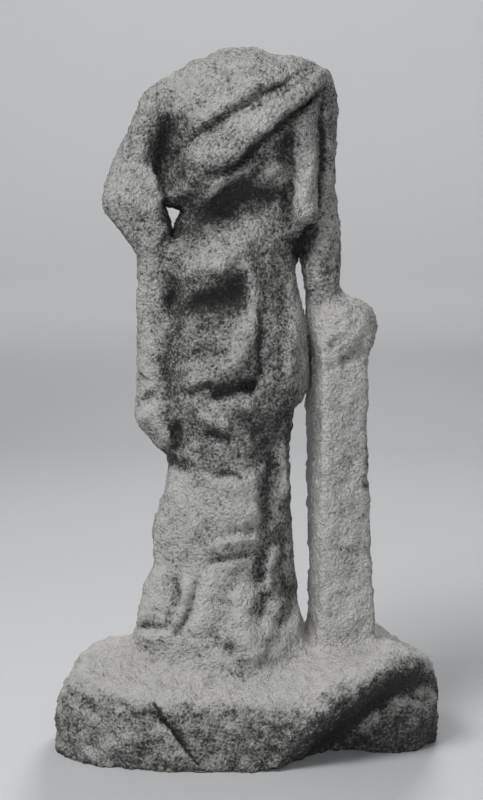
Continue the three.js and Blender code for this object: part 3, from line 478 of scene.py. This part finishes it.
HEAD_BLEND, SUPPORT_BLEND, FOOT_BLEND = 10, 4, 12  # pillar and its head, figure and pillar, both and plinth
OUTLINE_WEAR = 7
STROKES_END = (-22, 12)  # from front to back, where the strokes fade out


def stone(p, heights, outside):
    """The whole block as one signed distance in steps, negative inside the stone."""
    figure = body(p)
    for (form, low, high), blend in DRAPED:
        near = np.all((p > low - blend - BEAD_BLEND) & (p < high + blend + BEAD_BLEND), axis=1)
        figure[near] = join(figure[near], form(p[near]), blend)
    figure -= back_folds(p)
    support = join(pillar(p), PILLAR_HEAD[0](p), HEAD_BLEND)
    block = join(join(figure, support, SUPPORT_BLEND), plinth(p), FOOT_BLEND)
    block -= on_sheet(heights, p) * falling(p[:, 1], *STROKES_END)
    return np.maximum(cut(block, on_sheet(outside, p), OUTLINE_WEAR), -p[:, 2])


def parts(rows, most):
    """An array's rows in parts of no more than that many, to spare memory."""
    return np.array_split(rows, len(rows) // most + 1)


def sample(field, low, high, cell):
    """The field's values on a fine grid: worked out only in the blocks that its surface may cross."""
    size = 4  # cells along a block's side
    reach = 1.9 * size * cell  # well over half a block's diagonal, as the field isn't quite a distance
    blocks = np.ceil((high - low) / (cell * size)).astype(int)
    centres = low + (np.indices(blocks).reshape(3, -1).T * size + (size - 1) / 2) * cell
    coarse = np.concatenate([field(part) for part in parts(centres, 60000)])
    near = np.nonzero(np.abs(coarse) < reach)[0]
    values = np.tile(coarse.astype(np.float32)[:, None, None, None], (1, size, size, size))
    inner = (np.indices((size,) * 3).reshape(3, -1).T - (size - 1) / 2) * cell
    for part in parts(near, 3000):
        points = (centres[part][:, None] + inner).reshape(-1, 3)
        values[part] = field(points).reshape(-1, size, size, size)
    values = values.reshape(*blocks, size, size, size).transpose(0, 3, 1, 4, 2, 5)
    return np.ascontiguousarray(values.reshape(blocks * size))


CORNERS = np.indices((2, 2, 2)).reshape(3, -1).T
FILLED = -0.01  # a value just inside the stone


def corner_views(values):
    """The eight corners of every cell of a grid, as views of it, in the order of CORNERS."""
    n = values.shape
    return [values[a : n[0] - 1 + a, b : n[1] - 1 + b, c : n[2] - 1 + c] for a, b, c in CORNERS]


def open_pinches(values):
    """Fills a corner wherever the stone would touch itself along one edge or at one point only."""
    rings = [(0, 1, 3, 2), (4, 5, 7, 6), (0, 1, 5, 4), (2, 3, 7, 6), (0, 2, 6, 4), (1, 3, 7, 5)]
    for _ in range(12):
        solid = corner_views(values < 0)
        views = corner_views(values)
        changed = 0
        for a, b, c, d in rings:
            pinch = (solid[a] == solid[c]) & (solid[b] == solid[d]) & (solid[a] != solid[b])
            for corner in (a, b):
                where = pinch & ~solid[corner]
                views[corner][where] = FILLED
                changed += where.sum()
        total = sum(s.astype(np.int8) for s in solid)
        for a, b in ((0, 7), (1, 6), (2, 5), (3, 4)):
            for count, alike in ((2, True), (6, False)):
                where = (total == count) & (solid[a] == alike) & (solid[b] == alike)
                views[a ^ 1 if alike else a][where] = FILLED
                changed += where.sum()
        if not changed:
            break


def skin(values, low, cell):
    """A closed surface: one vertex in each cell that it crosses, two triangles on each cut grid edge."""
    open_pinches(values)
    solid = values < 0
    total = sum(s.astype(np.int8) for s in corner_views(solid))
    cells = np.argwhere((total > 0) & (total < 8))
    v = np.stack([c[tuple(cells.T)] for c in corner_views(values)], 1)
    crossings, sums = np.zeros(len(cells)), np.zeros((len(cells), 3))
    for a in range(8):
        for b in (a | 1, a | 2, a | 4):
            if b == a:
                continue
            cutting = (v[:, a] < 0) != (v[:, b] < 0)
            t = np.where(cutting, v[:, a] / np.where(cutting, v[:, a] - v[:, b], 1), 0)
            place = CORNERS[a] + t[:, None] * (CORNERS[b] - CORNERS[a])
            sums += place * cutting[:, None]
            crossings += cutting
    points = low + (cells + sums / crossings[:, None]) * cell
    number = np.full(total.shape, -1, np.int32)
    number[tuple(cells.T)] = np.arange(len(cells))
    faces = []
    for axis in range(3):
        p, q = np.eye(3, dtype=int)[[(axis + 1) % 3, (axis + 2) % 3]]
        first = np.take(solid, range(solid.shape[axis] - 1), axis)
        second = np.take(solid, range(1, solid.shape[axis]), axis)
        edge = np.argwhere(first != second)
        ring = [number[tuple((edge - back).T)] for back in (0 * p, p, p + q, q)]
        ring = np.stack(ring, 1)
        outward = first[tuple(edge.T)]
        ring[~outward] = ring[~outward][:, ::-1]
        faces += [ring[:, [0, 1, 2]], ring[:, [0, 2, 3]]]
    return points, np.concatenate(faces)


def new_mesh(name, points, triangles):
    """A mesh of that name from its points and the three corners of each triangle."""
    mesh = bpy.data.meshes.new(name)
    mesh.vertices.add(len(points))
    mesh.vertices.foreach_set("co", points.astype(np.float32).ravel())
    mesh.loops.add(triangles.size)
    mesh.loops.foreach_set("vertex_index", triangles.astype(np.int32).ravel())
    mesh.polygons.add(len(triangles))
    mesh.polygons.foreach_set("loop_start", np.arange(0, triangles.size, 3, dtype=np.int32))
    mesh.update(calc_edges=True)
    mesh.validate()
    return mesh


class Wire:
    """An output socket of a node tree. Python's own operators on it add Math nodes to the tree."""

    def __init__(self, wiring, socket):
        self.wiring = wiring
        self.socket = socket

    def maths(self, operation, *values):
        return self.wiring.node("ShaderNodeMath", {"operation": operation}, dict(enumerate(values)))

    def __add__(self, other):
        return self.maths("ADD", self, other)

    def __sub__(self, other):
        return self.maths("SUBTRACT", self, other)

    def __rsub__(self, other):
        return self.maths("SUBTRACT", other, self)

    def __mul__(self, other):
        return self.maths("MULTIPLY", self, other)

    def __truediv__(self, other):
        return self.maths("DIVIDE", self, other)

    def __rtruediv__(self, other):
        return self.maths("DIVIDE", other, self)

    __radd__ = __add__
    __rmul__ = __mul__

    def above(self, low, high):
        """0 below low and 1 above high, with a smooth ramp between."""
        ramp = {"interpolation_type": "SMOOTHSTEP"}
        inputs = {"Value": self, "From Min": low, "From Max": high}
        return self.wiring.node("ShaderNodeMapRange", ramp, inputs)


class Wiring:
    """A node tree that is being wired."""

    def __init__(self, tree):
        self.tree = tree

    def node(self, kind, settings=None, inputs=None, output=0):
        """A new node with its settings, then the values or wires of its inputs: gives that output of it."""
        made = self.tree.nodes.new(kind)
        for name, value in (settings or {}).items():
            setattr(made, name, value)
        for name, value in (inputs or {}).items():
            if isinstance(value, Wire):
                self.tree.links.new(value.socket, made.inputs[name])
            else:
                made.inputs[name].default_value = value
        return Wire(self, made.outputs[output]) if made.outputs else made


class StoneSettings(bpy.types.PropertyGroup):
    """Sizes of the carving and its wear."""

    cell: FloatProperty(
        name="Carving Cell", description="Size of the finest carved form", default=0.0025, unit="LENGTH"
    )
    triangles: IntProperty(name="Triangles", description="Triangles of the finished block", default=195000)
    erosion_depth: FloatProperty(
        name="Erosion Depth", description="Depth of the uneven wear", default=0.0036, unit="LENGTH"
    )
    erosion_size: FloatProperty(
        name="Erosion Size", description="Size of the worn hollows", default=0.016, unit="LENGTH"
    )
    pit_depth: FloatProperty(
        name="Pit Depth", description="Depth of the pits", default=0.0024, unit="LENGTH"
    )
    pit_size: FloatProperty(
        name="Pit Size", description="Spacing of the pits", default=0.007, unit="LENGTH"
    )
    plinth_depth: FloatProperty(
        name="Plinth Roughness",
        description="Depth of the plinth's coarse hollows",
        default=0.004,
        unit="LENGTH",
    )
    seed: IntProperty(name="Seed", description="Changes the pattern of wear", default=4)


class FinishSettings(bpy.types.PropertyGroup):
    """Colours of the stone."""

    light: FloatVectorProperty(
        name="Clean Marble",
        description="Colour of the cleanest stone",
        subtype="COLOR",
        default=(0.52, 0.51, 0.49),
    )
    # the dull tone also carries the middle tones of the painted shade
    dull_and_shade: FloatVectorProperty(
        name="Dull Marble",
        description="Colour of the dulled stone",
        subtype="COLOR",
        default=(0.21, 0.205, 0.195),
    )
    # this dark colour also paints the shade in deep recesses
    dirt_and_shade: FloatVectorProperty(
        name="Dirt",
        description="Colour of the crust in hollows",
        subtype="COLOR",
        default=(0.05, 0.05, 0.048),
    )


class StageSettings(bpy.types.PropertyGroup):
    """Colours and lights of the studio."""

    floor: FloatVectorProperty(
        name="Floor",
        description="Colour of the floor and backdrop",
        subtype="COLOR",
        default=(0.6, 0.61, 0.62),
    )
    key: FloatProperty(name="Key Light", description="Power of the main light", default=94, unit="POWER")
    fill: FloatProperty(name="Fill", description="Strength of the light from all round", default=0.06)


def weathering_tree():
    """A geometry node tree that wears, pits and roughens the stone, more on the plinth than above it."""
    tree = bpy.data.node_groups.new("Weathering", "GeometryNodeTree")
    tree.interface.new_socket("Geometry", in_out="OUTPUT", socket_type="NodeSocketGeometry")
    tree.interface.new_socket("Geometry", in_out="INPUT", socket_type="NodeSocketGeometry")
    depths_and_sizes = ("Erosion Depth", "Erosion Size", "Pit Depth", "Pit Size", "Plinth Roughness")
    for name in (*depths_and_sizes, "Crown", "Seed"):
        tree.interface.new_socket(name, in_out="INPUT", socket_type="NodeSocketFloat")
    tree.interface.new_socket("Material", in_out="INPUT", socket_type="NodeSocketMaterial")
    wiring = Wiring(tree)
    group_in = tree.nodes.new("NodeGroupInput")
    given = {socket.name: Wire(wiring, socket) for socket in group_in.outputs if socket.name}
    position = wiring.node("GeometryNodeInputPosition")
    normal = wiring.node("GeometryNodeInputNormal")
    height = wiring.node("ShaderNodeSeparateXYZ", inputs={0: position}, output=2)
    low_down = 1 - (height / given["Crown"]).above(0.9, 1.1)

    def noise(size, detail):
        """Smooth noise about zero, with hollows of that size."""
        inputs = {"Vector": position, "W": given["Seed"], "Scale": 1 / size, "Detail": detail}
        inputs["Roughness"] = 0.6
        return wiring.node("ShaderNodeTexNoise", {"noise_dimensions": "4D"}, inputs) - 0.5

    def pits(size, rim):
        """1 in the middle of round pits that are spread at that size, 0 outside them."""
        added = {0: position, 1: given["Seed"]}
        scattered = wiring.node("ShaderNodeVectorMath", {"operation": "ADD"}, added)
        inputs = {"Vector": scattered, "Scale": 1 / size, "Randomness": 1.0}
        return 1 - wiring.node("ShaderNodeTexVoronoi", None, inputs).above(0.0, rim)

    # noise strays little from zero, so it is scaled up to fill the depth
    size = given["Erosion Size"]
    worn = given["Erosion Depth"] * (noise(size, 4.0) * 4 + noise(size * 4, 1.0) * 3)
    patchy = noise(size * 2.5, 2.0).above(-0.12, 0.1)
    pitted = given["Pit Depth"] * pits(given["Pit Size"], 0.42) * (patchy + low_down * 0.4)
    hewn = given["Plinth Roughness"] * low_down * (noise(size * 1.8, 4.0) * 4 - pits(size * 0.9, 0.5) * 0.5)
    scaled = {0: normal, "Scale": worn + hewn - pitted}
    shift = wiring.node("ShaderNodeVectorMath", {"operation": "SCALE"}, scaled)
    moved = wiring.node("GeometryNodeSetPosition", None, {"Geometry": given["Geometry"], "Offset": shift})
    real = wiring.node("GeometryNodeRealizeInstances", None, {"Geometry": moved})
    finish = {"Geometry": real, "Material": given["Material"]}
    dressed = wiring.node("GeometryNodeSetMaterial", None, finish)
    out = tree.nodes.new("NodeGroupOutput")
    tree.links.new(dressed.socket, out.inputs[0])
    return tree


# Sizes of the marble's marks, in metres
PATCH_SIZE, BLOT_SIZE, CHIP_SIZE, GRAIN_SIZE, CRYSTAL_SIZE = 0.06, 0.014, 0.0042, 0.0036, 0.0025


def marble_material(finish):
    """Dull grey marble with coarse crystals, a dark crust where dirt has settled, painted shade and painted
    light from each vertex's darkness, and clean worn places.
    """
    material = bpy.data.materials.new("weathered_marble")
    material.use_nodes = True
    tree = material.node_tree
    tree.nodes.clear()
    wiring = Wiring(tree)
    place = wiring.node("ShaderNodeTexCoord", output=3)

    def noise(size, detail, roughness=0.5):
        """Smooth noise about zero, with marks of that size."""
        inputs = {"Vector": place, "Scale": 1 / size, "Detail": detail, "Roughness": roughness}
        return wiring.node("ShaderNodeTexNoise", None, inputs) - 0.5

    def facets(size, output, middle):
        """A value of small angular cells of that size, about zero."""
        inputs = {"Vector": place, "Scale": 1 / size}
        return wiring.node("ShaderNodeTexVoronoi", None, inputs, output=output) - middle

    def mix(factor, a, b):
        """The colour that goes from a to b as the factor goes from 0 to 1."""
        return wiring.node("ShaderNodeMix", {"data_type": "RGBA"}, {0: factor, 6: a, 7: b}, output=2)

    # how dark each vertex is painted: settled dirt together with painted shade and painted light
    dirt_and_shade_amount = wiring.node("ShaderNodeAttribute", {"attribute_name": "dirt_and_painted_shade"}, output=2)
    patches = noise(PATCH_SIZE, 3.0)
    blots = noise(BLOT_SIZE, 3.0, 0.6)
    grain = noise(GRAIN_SIZE, 2.0, 0.75)
    crystals = facets(CRYSTAL_SIZE, "Color", 0.5)
    chips = facets(CHIP_SIZE, "Distance", 0.4)
    light, dull_and_shade, dirt_and_shade = ((*colour, 1) for colour in (finish.light, finish.dull_and_shade, finish.dirt_and_shade))
    # clean stone dulls where the crust and painted shade are thin, and goes dark in pocks where they are
    # thick
    crust_and_shade = dirt_and_shade_amount + patches * 0.5 + blots * 0.9
    colour = mix((crust_and_shade + grain * 0.7 + crystals * 0.35).above(-0.15, 0.85), light, dull_and_shade)
    pocks = (crust_and_shade * 1.1 + grain * 1.55 + chips * 0.8 + crystals * 0.5).above(0.3, 1.2)
    colour = mix(pocks, colour, dirt_and_shade)
    # what is dark lies low, the more so in settled dirt and painted shade
    relief = (grain * 1.6 + chips * 0.9 + blots * 2.0 + crystals * 0.5) * (-0.75 - dirt_and_shade_amount * 0.6)
    bump = wiring.node("ShaderNodeBump", None, {"Strength": 1.0, "Distance": 0.004, "Height": relief})
    inputs = {"Base Color": colour, "Roughness": 0.88, "Specular IOR Level": 0.3, "Normal": bump}
    surface = wiring.node("ShaderNodeBsdfPrincipled", None, inputs)
    out = tree.nodes.new("ShaderNodeOutputMaterial")
    tree.links.new(surface.socket, out.inputs["Surface"])
    return material


def smoothed(values, edges, counts, rounds):
    """Values at the vertices, averaged over their neighbours that many times."""
    for _ in range(rounds):
        total = np.empty_like(values)
        for axis in range(values.shape[1]):
            column = np.bincount(edges[:, 0], values[edges[:, 1], axis], len(values))
            total[:, axis] = column + np.bincount(edges[:, 1], values[edges[:, 0], axis], len(values))
        values = 0.5 * values + 0.5 * total / counts
    return values


# Darker places in front, and lighter ones with a minus: real stains and washed patches, and painted shade and
# painted light where marked: (u, w, half width, half height, darkness)
STAINS_AND_PAINTED_SHADE = [
    # painted shade: the hollow under the hanging fold's end, under the roll, and the resting arm's side away
    # from the light
    (57, 524, 10, 20, 0.35),
    (-20, 610, 26, 12, 0.15),
    (84, 505, 14, 32, 0.22),
    (16, 198, 10, 24, 0.25),
    (71, 171, 8, 32, 0.3),
    (-68, 285, 11, 22, -0.3),
    (100, 158, 22, 24, -0.16),
    (-44, 163, 13, 36, -0.16),
    (-5, 156, 11, 8, -0.2),
    (-41, 107, 44, 15, -0.15),
    (18, 109, 20, 11, -0.2),
    # painted shade under the mantle's roll and its overhang
    (-28, 561, 36, 13, 0.3),
    (-46, 600, 24, 16, 0.4),
    (8, 573, 24, 14, 0.4),
    (40, 590, 16, 20, -0.2),
    (-75, 488, 10, 18, -0.3),
    (6, 474, 10, 14, -0.2),
    # painted shade under the roll, in the recess over the belly and in the pocket under the thigh
    (-51, 541, 26, 12, 0.35),
    (-68, 533, 14, 34, 0.15),
    (-34, 472, 32, 13, 0.25),
    (-6, 384, 22, 8, 0.3),
    # painted shade in a small hole
    (14, 687, 4, 4, 0.6),
    (120, 309, 4, 5, 0.6),
    (120, 287, 4, 5, 0.7),
    (-24, 265, 34, 28, -0.06),
    (-96, 433, 9, 60, -0.06),
    (-2, 663, 26, 16, -0.2),
    (112, 104, 40, 16, 0.1),
    # painted shade on the plinth's broken corner and right side, which face away from the light
    (158, 112, 26, 18, 0.7),
    (140, 50, 42, 26, 0.25),
    # painted light on the pillar's left face, where the figure's shade falls
    (67, 320, 8, 75, -0.3),
]
CRACKS = [  # grid places along dark cracks in the front
    [(-93, 70), (-88, 63), (-80, 50), (-71, 38), (-64, 28), (-55, 17), (-48, 8)],
]
CRACK_DIRT = 0.9
CRACK_HALF_WIDTH = 1.1  # steps
HOLLOW_ROUNDS = 70  # of averaging, which flatten hollows up to about 3 cm wide
HOLLOW_DEPTH = 0.006  # metres below the flattened surface at which a hollow is full of dirt and painted shade
NORMAL_ROUNDS = 6
# the strokes' darkness is painted shade in their grooves, with some dirt, and painted light on their ridges
STROKE_DIRT_AND_SHADE = 0.025  # for each step that a stroke goes into the stone


def read_rows(items, name, width, kind=float):
    """One value of each of a mesh's vertices or edges, such as "co", in rows of that width."""
    values = np.zeros(len(items) * width, kind)
    items.foreach_get(name, values)
    return values.reshape(-1, width)


def settle_dirt_and_paint_shade(mesh, heights):
    """Stores at each vertex how much dirt has settled there, together with painted shade and painted light, 0
    to about 1, as "dirt_and_painted_shade".
    """
    points = read_rows(mesh.vertices, "co", 3)
    normals = read_rows(mesh.vertex_normals, "vector", 3)
    edges = read_rows(mesh.edges, "vertices", 2, np.int32)
    counts = np.bincount(edges.ravel(), minlength=len(points))[:, None] + 1e-9
    level = smoothed(points, edges, counts, HOLLOW_ROUNDS)
    hollow = np.clip(((level - points) * normals).sum(1) / HOLLOW_DEPTH, -1, 1)
    facing_right, _, facing_up = smoothed(normals, edges, counts, NORMAL_ROUNDS).T
    u, w = seen(points / STEP)
    # darker in hollows, partly dirt and partly painted shade; painted shade on what faces down and painted
    # light on what faces up; lighter on edges, partly wear and partly painted light
    dirt_and_shade = 0.22 + 0.3 * np.maximum(hollow, 0) + 0.12 * np.minimum(hollow, 0) - 0.3 * facing_up
    # lighter on the upward faces of the hem and of the plinth's top, partly washed stone and partly painted
    # light from above; darker on the plinth's sides, partly dirt and lichen and partly painted shade, with
    # more painted shade to the right where the sides turn from the light
    dirt_and_shade -= 0.34 * falling(w, 170, 230) * smoothstep(facing_up, -0.2, 0.5)
    side = falling(w, CROWN - 30, CROWN + 4) * falling(facing_up, 0.3, 0.75)
    dirt_and_shade += side * (0.34 + 0.25 * smoothstep(u, 30, 90))
    # painted shade over the body between knee and chest, darker on the shoulders, and painted shade on the
    # resting arm, which the body hides from the light
    dirt_and_shade += 0.26 * smoothstep(w, 270, 340) * falling(np.abs(u + 18), 52, 80) * falling(w, 540, 600)
    dirt_and_shade += 0.16 * smoothstep(w, 590, 640) + 0.08 * smoothstep(w, 460, 500) * smoothstep(u, 50, 66)
    # lighter on the pillar, whose shaft is cleaner, with painted light on its left face where the figure's
    # shade falls; darker on the hanging mantle
    dirt_and_shade -= 0.12 * smoothstep(u, 50, 58) * falling(w, 440, 470) * (1.5 - 1.8 * facing_right)
    dirt_and_shade += 0.08 * falling(u, -90, -70) * smoothstep(w, 330, 480)
    # painted shade on the body's and the bent arm's sides that face right, away from the light
    dirt_and_shade += 0.25 * smoothstep(facing_right, 0.2, 0.9) * falling(u, 40, 60)
    # in front: along the strokes, painted shade and some dirt in the grooves and painted light on the ridges;
    # dark cracks; and the stains, with their painted shade and painted light
    front = falling(points[:, 1] / STEP, 0, 30)
    dirt_and_shade += front * np.clip(-STROKE_DIRT_AND_SHADE * on_sheet(heights, points / STEP), -0.12, 0.25)
    for crack in CRACKS:
        away = to_line(spline(crack, 8), u, w)[0] / CRACK_HALF_WIDTH
        dirt_and_shade += CRACK_DIRT * front * np.exp(-(away**2))
    for across, up, half_width, half_height, amount in STAINS_AND_PAINTED_SHADE:
        dirt_and_shade += amount * front * np.exp(-(((u - across) / half_width) ** 2) - ((w - up) / half_height) ** 2)
    attribute = mesh.attributes.new("dirt_and_painted_shade", "FLOAT", "POINT")
    attribute.data.foreach_set("value", dirt_and_shade.astype(np.float32))


def settings(context):
    """The sizes of the stone, its colours, and the studio's colours and lights."""
    return context.scene.statue_stone, context.scene.statue_finish, context.scene.statue_stage


MARGIN = 8  # steps of open air that the fine grid has around the block


class STATUE_OT_block(bpy.types.Operator):
    """Carve the figure, pillar and plinth as one block, wear its surface and give it its marble."""

    bl_idname = "statue.block"
    bl_label = "Carve Block"

    def execute(self, context):
        sizes, finish, _ = settings(context)
        cell = sizes.cell / STEP * 1
        heights, outside = draw_sheet()
        low = np.array([-PLINTH_HALF_WIDTH, -PLINTH_HALF_DEPTH, 0.0]) - MARGIN
        high = np.array([PLINTH_HALF_WIDTH, PLINTH_HALF_DEPTH, SUMMIT]) + MARGIN
        values = sample(lambda p: stone(p, heights, outside), low, high, cell)
        points, triangles = skin(values, low, cell)
        points = points * STEP
        rough = bpy.data.objects.new("rough_block", new_mesh("rough_block", points, triangles))
        context.collection.objects.link(rough)

        wear = rough.modifiers.new("Weathering", "NODES")
        wear.node_group = weathering_tree()
        given = {
            "Erosion Depth": sizes.erosion_depth,
            "Erosion Size": sizes.erosion_size,
            "Pit Depth": sizes.pit_depth,
            "Pit Size": sizes.pit_size,
            "Plinth Roughness": sizes.plinth_depth,
            "Crown": CROWN * STEP,
            "Seed": float(sizes.seed),
            "Material": marble_material(finish),
        }
        for item in wear.node_group.interface.items_tree:
            if item.in_out == "INPUT" and item.name in given:
                wear[item.identifier] = given[item.name]
        thin = rough.modifiers.new("Thinning", "DECIMATE")
        thin.ratio = min(1.0, sizes.triangles / len(triangles))

        graph = context.evaluated_depsgraph_get()
        mesh = bpy.data.meshes.new_from_object(rough.evaluated_get(graph))
        bpy.data.objects.remove(rough)
        mesh.name = "statue"
        settle_dirt_and_paint_shade(mesh, heights)
        mesh.polygons.foreach_set("use_smooth", np.ones(len(mesh.polygons), bool))
        statue = bpy.data.objects.new("statue", mesh)
        context.collection.objects.link(statue)
        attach(statue, "root")
        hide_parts(NODE)
        return {"FINISHED"}


# The studio, in metres: its floor, the wall that it bends up into, and the lights
FLOOR_RADIUS, BEND_RADIUS, WALL_TOP = 5.4, 2.4, 5.0
BEND_STEPS, BOWL_SIDES = 12, 96
LIGHTS = [  # name, place, size, share of the main light's power, spread in degrees
    ("key_light", (-1.6, -1.9, 3.3), 1.4, 1.05, 180),
    ("front_light", (-0.7, -3.4, 1.2), 1.2, 0.22, 180),
    ("back_light", (0.8, 4.4, 2.6), 1.6, 0.2, 60),
]
WALL_LIGHT = (3.2, 4.2)  # how far out and how high each of the four wall lights hangs
WALL_LIT = (7.2, 3.0)  # how far out and how high each is aimed
WALL_LIGHT_SIZE, WALL_LIGHT_SHARE = 3.0, 1.7


def paper_material(colour):
    """Plain pale paper without gloss."""
    material = bpy.data.materials.new("pale_paper")
    material.use_nodes = True
    surface = material.node_tree.nodes["Principled BSDF"]
    surface.inputs["Base Color"].default_value = (*colour, 1)
    surface.inputs["Roughness"].default_value = 0.95
    surface.inputs["Specular IOR Level"].default_value = 0.1
    return material


class STATUE_OT_stage(bpy.types.Operator):
    """Set up the floor that rises into a wall all round, the soft lights and the camera."""

    bl_idname = "statue.stage"
    bl_label = "Set Stage"

    def execute(self, context):
        stage = settings(context)[2]
        self.add_bowl(context, stage)
        self.add_lights(context, stage)
        self.add_camera(context)
        context.scene.view_settings.view_transform = "Standard"
        return {"FINISHED"}

    def add_bowl(self, context, stage):
        """A round floor that curves up into a wall on all sides."""
        flat, bend = FLOOR_RADIUS, BEND_RADIUS
        turns = np.linspace(0, math.pi / 2, BEND_STEPS + 1)
        profile = [(flat + bend * math.sin(t), bend - bend * math.cos(t)) for t in turns]
        profile.append((flat + bend, WALL_TOP))
        around = np.linspace(0, 2 * math.pi, BOWL_SIDES + 1)[:-1]
        points = [(r * math.cos(a), r * math.sin(a), z) for r, z in profile for a in around]
        count = len(around)
        faces = [tuple(range(count))]
        for ring in range(len(profile) - 1):
            for i in range(count):
                low, low_next = ring * count + i, ring * count + (i + 1) % count
                faces.append((low, low + count, low_next + count, low_next))
        mesh = bpy.data.meshes.new("floor_and_backdrop")
        mesh.from_pydata(points, [], faces)
        mesh.polygons.foreach_set("use_smooth", np.ones(len(faces), bool))
        mesh.materials.append(paper_material(stage.floor))
        bowl = bpy.data.objects.new("floor_and_backdrop", mesh)
        context.collection.objects.link(bowl)

    def add_lights(self, context, stage):
        """A soft light from the upper left, fainter ones in front and behind, and light on the wall."""
        middle = Vector((0, 0, SUMMIT * STEP / 2))
        lights = [(*light, middle) for light in LIGHTS]
        out, high = WALL_LIGHT
        lit_out, lit_high = WALL_LIT
        for i, (x, y) in enumerate(((0, 1), (1, 0), (0, -1), (-1, 0))):
            on_wall = Vector((lit_out * x, lit_out * y, lit_high))
            place = (out * x, out * y, high)
            lights.append((f"wall_light_{i}", place, WALL_LIGHT_SIZE, WALL_LIGHT_SHARE, 180, on_wall))
        for name, place, size, share, spread, target in lights:
            light = bpy.data.lights.new(name, "AREA")
            light.size = size
            light.spread = math.radians(spread)
            light.energy = stage.key * share
            lamp = bpy.data.objects.new(name, light)
            lamp.location = place
            lamp.rotation_euler = (target - lamp.location).to_track_quat("-Z", "Y").to_euler()
            lamp.visible_camera = False
            context.collection.objects.link(lamp)
        world = bpy.data.worlds.new("studio")
        world.use_nodes = True
        surround = world.node_tree.nodes["Background"]
        surround.inputs["Color"].default_value = (1, 1, 1, 1)
        surround.inputs["Strength"].default_value = stage.fill
        context.scene.world = world

    def add_camera(self, context):
        """The eye that sees the statue on its drawing grid, one pixel to a step."""
        camera = bpy.data.cameras.new("camera")
        camera.sensor_width = 36
        camera.lens = camera.sensor_width * EYE_DISTANCE / IMAGE_LONG_SIDE
        eye = bpy.data.objects.new("camera", camera)
        back = Vector((0, -COS, SIN)) * EYE_DISTANCE
        eye.location = (Vector((EYE_SIDE, 0, EYE_HEIGHT)) + back) * STEP
        eye.rotation_euler = (math.pi / 2 - EYE_TILT, 0, 0)
        context.collection.objects.link(eye)
        context.scene.camera = eye


class STATUE_PT_panel(bpy.types.Panel):
    """Sizes and colours of the statue, and the steps that make it."""

    bl_idname = "STATUE_PT_panel"
    bl_label = "Statue"
    bl_space_type = "VIEW_3D"
    bl_region_type = "UI"
    bl_category = "Statue"

    def draw(self, context):
        for group, operator in zip(settings(context), ("statue.block", None, "statue.stage")):
            for name in group.bl_rna.properties.keys():
                if name not in ("rna_type", "name"):
                    self.layout.prop(group, name)
            if operator:
                self.layout.operator(operator)


CLASSES = (StoneSettings, FinishSettings, StageSettings, STATUE_OT_block, STATUE_OT_stage, STATUE_PT_panel)


def register():
    for cls in CLASSES:
        bpy.utils.register_class(cls)
    bpy.types.Scene.statue_stone = PointerProperty(type=StoneSettings)
    bpy.types.Scene.statue_finish = PointerProperty(type=FinishSettings)
    bpy.types.Scene.statue_stage = PointerProperty(type=StageSettings)


def unregister():
    for name in ("statue_stone", "statue_finish", "statue_stage"):
        delattr(bpy.types.Scene, name)
    for cls in reversed(CLASSES):
        bpy.utils.unregister_class(cls)


def main():
    """Makes the statue and its studio."""
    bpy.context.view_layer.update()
    register()
    bpy.ops.statue.block()
    bpy.ops.statue.stage()


if __name__ == "__main__":
    main()
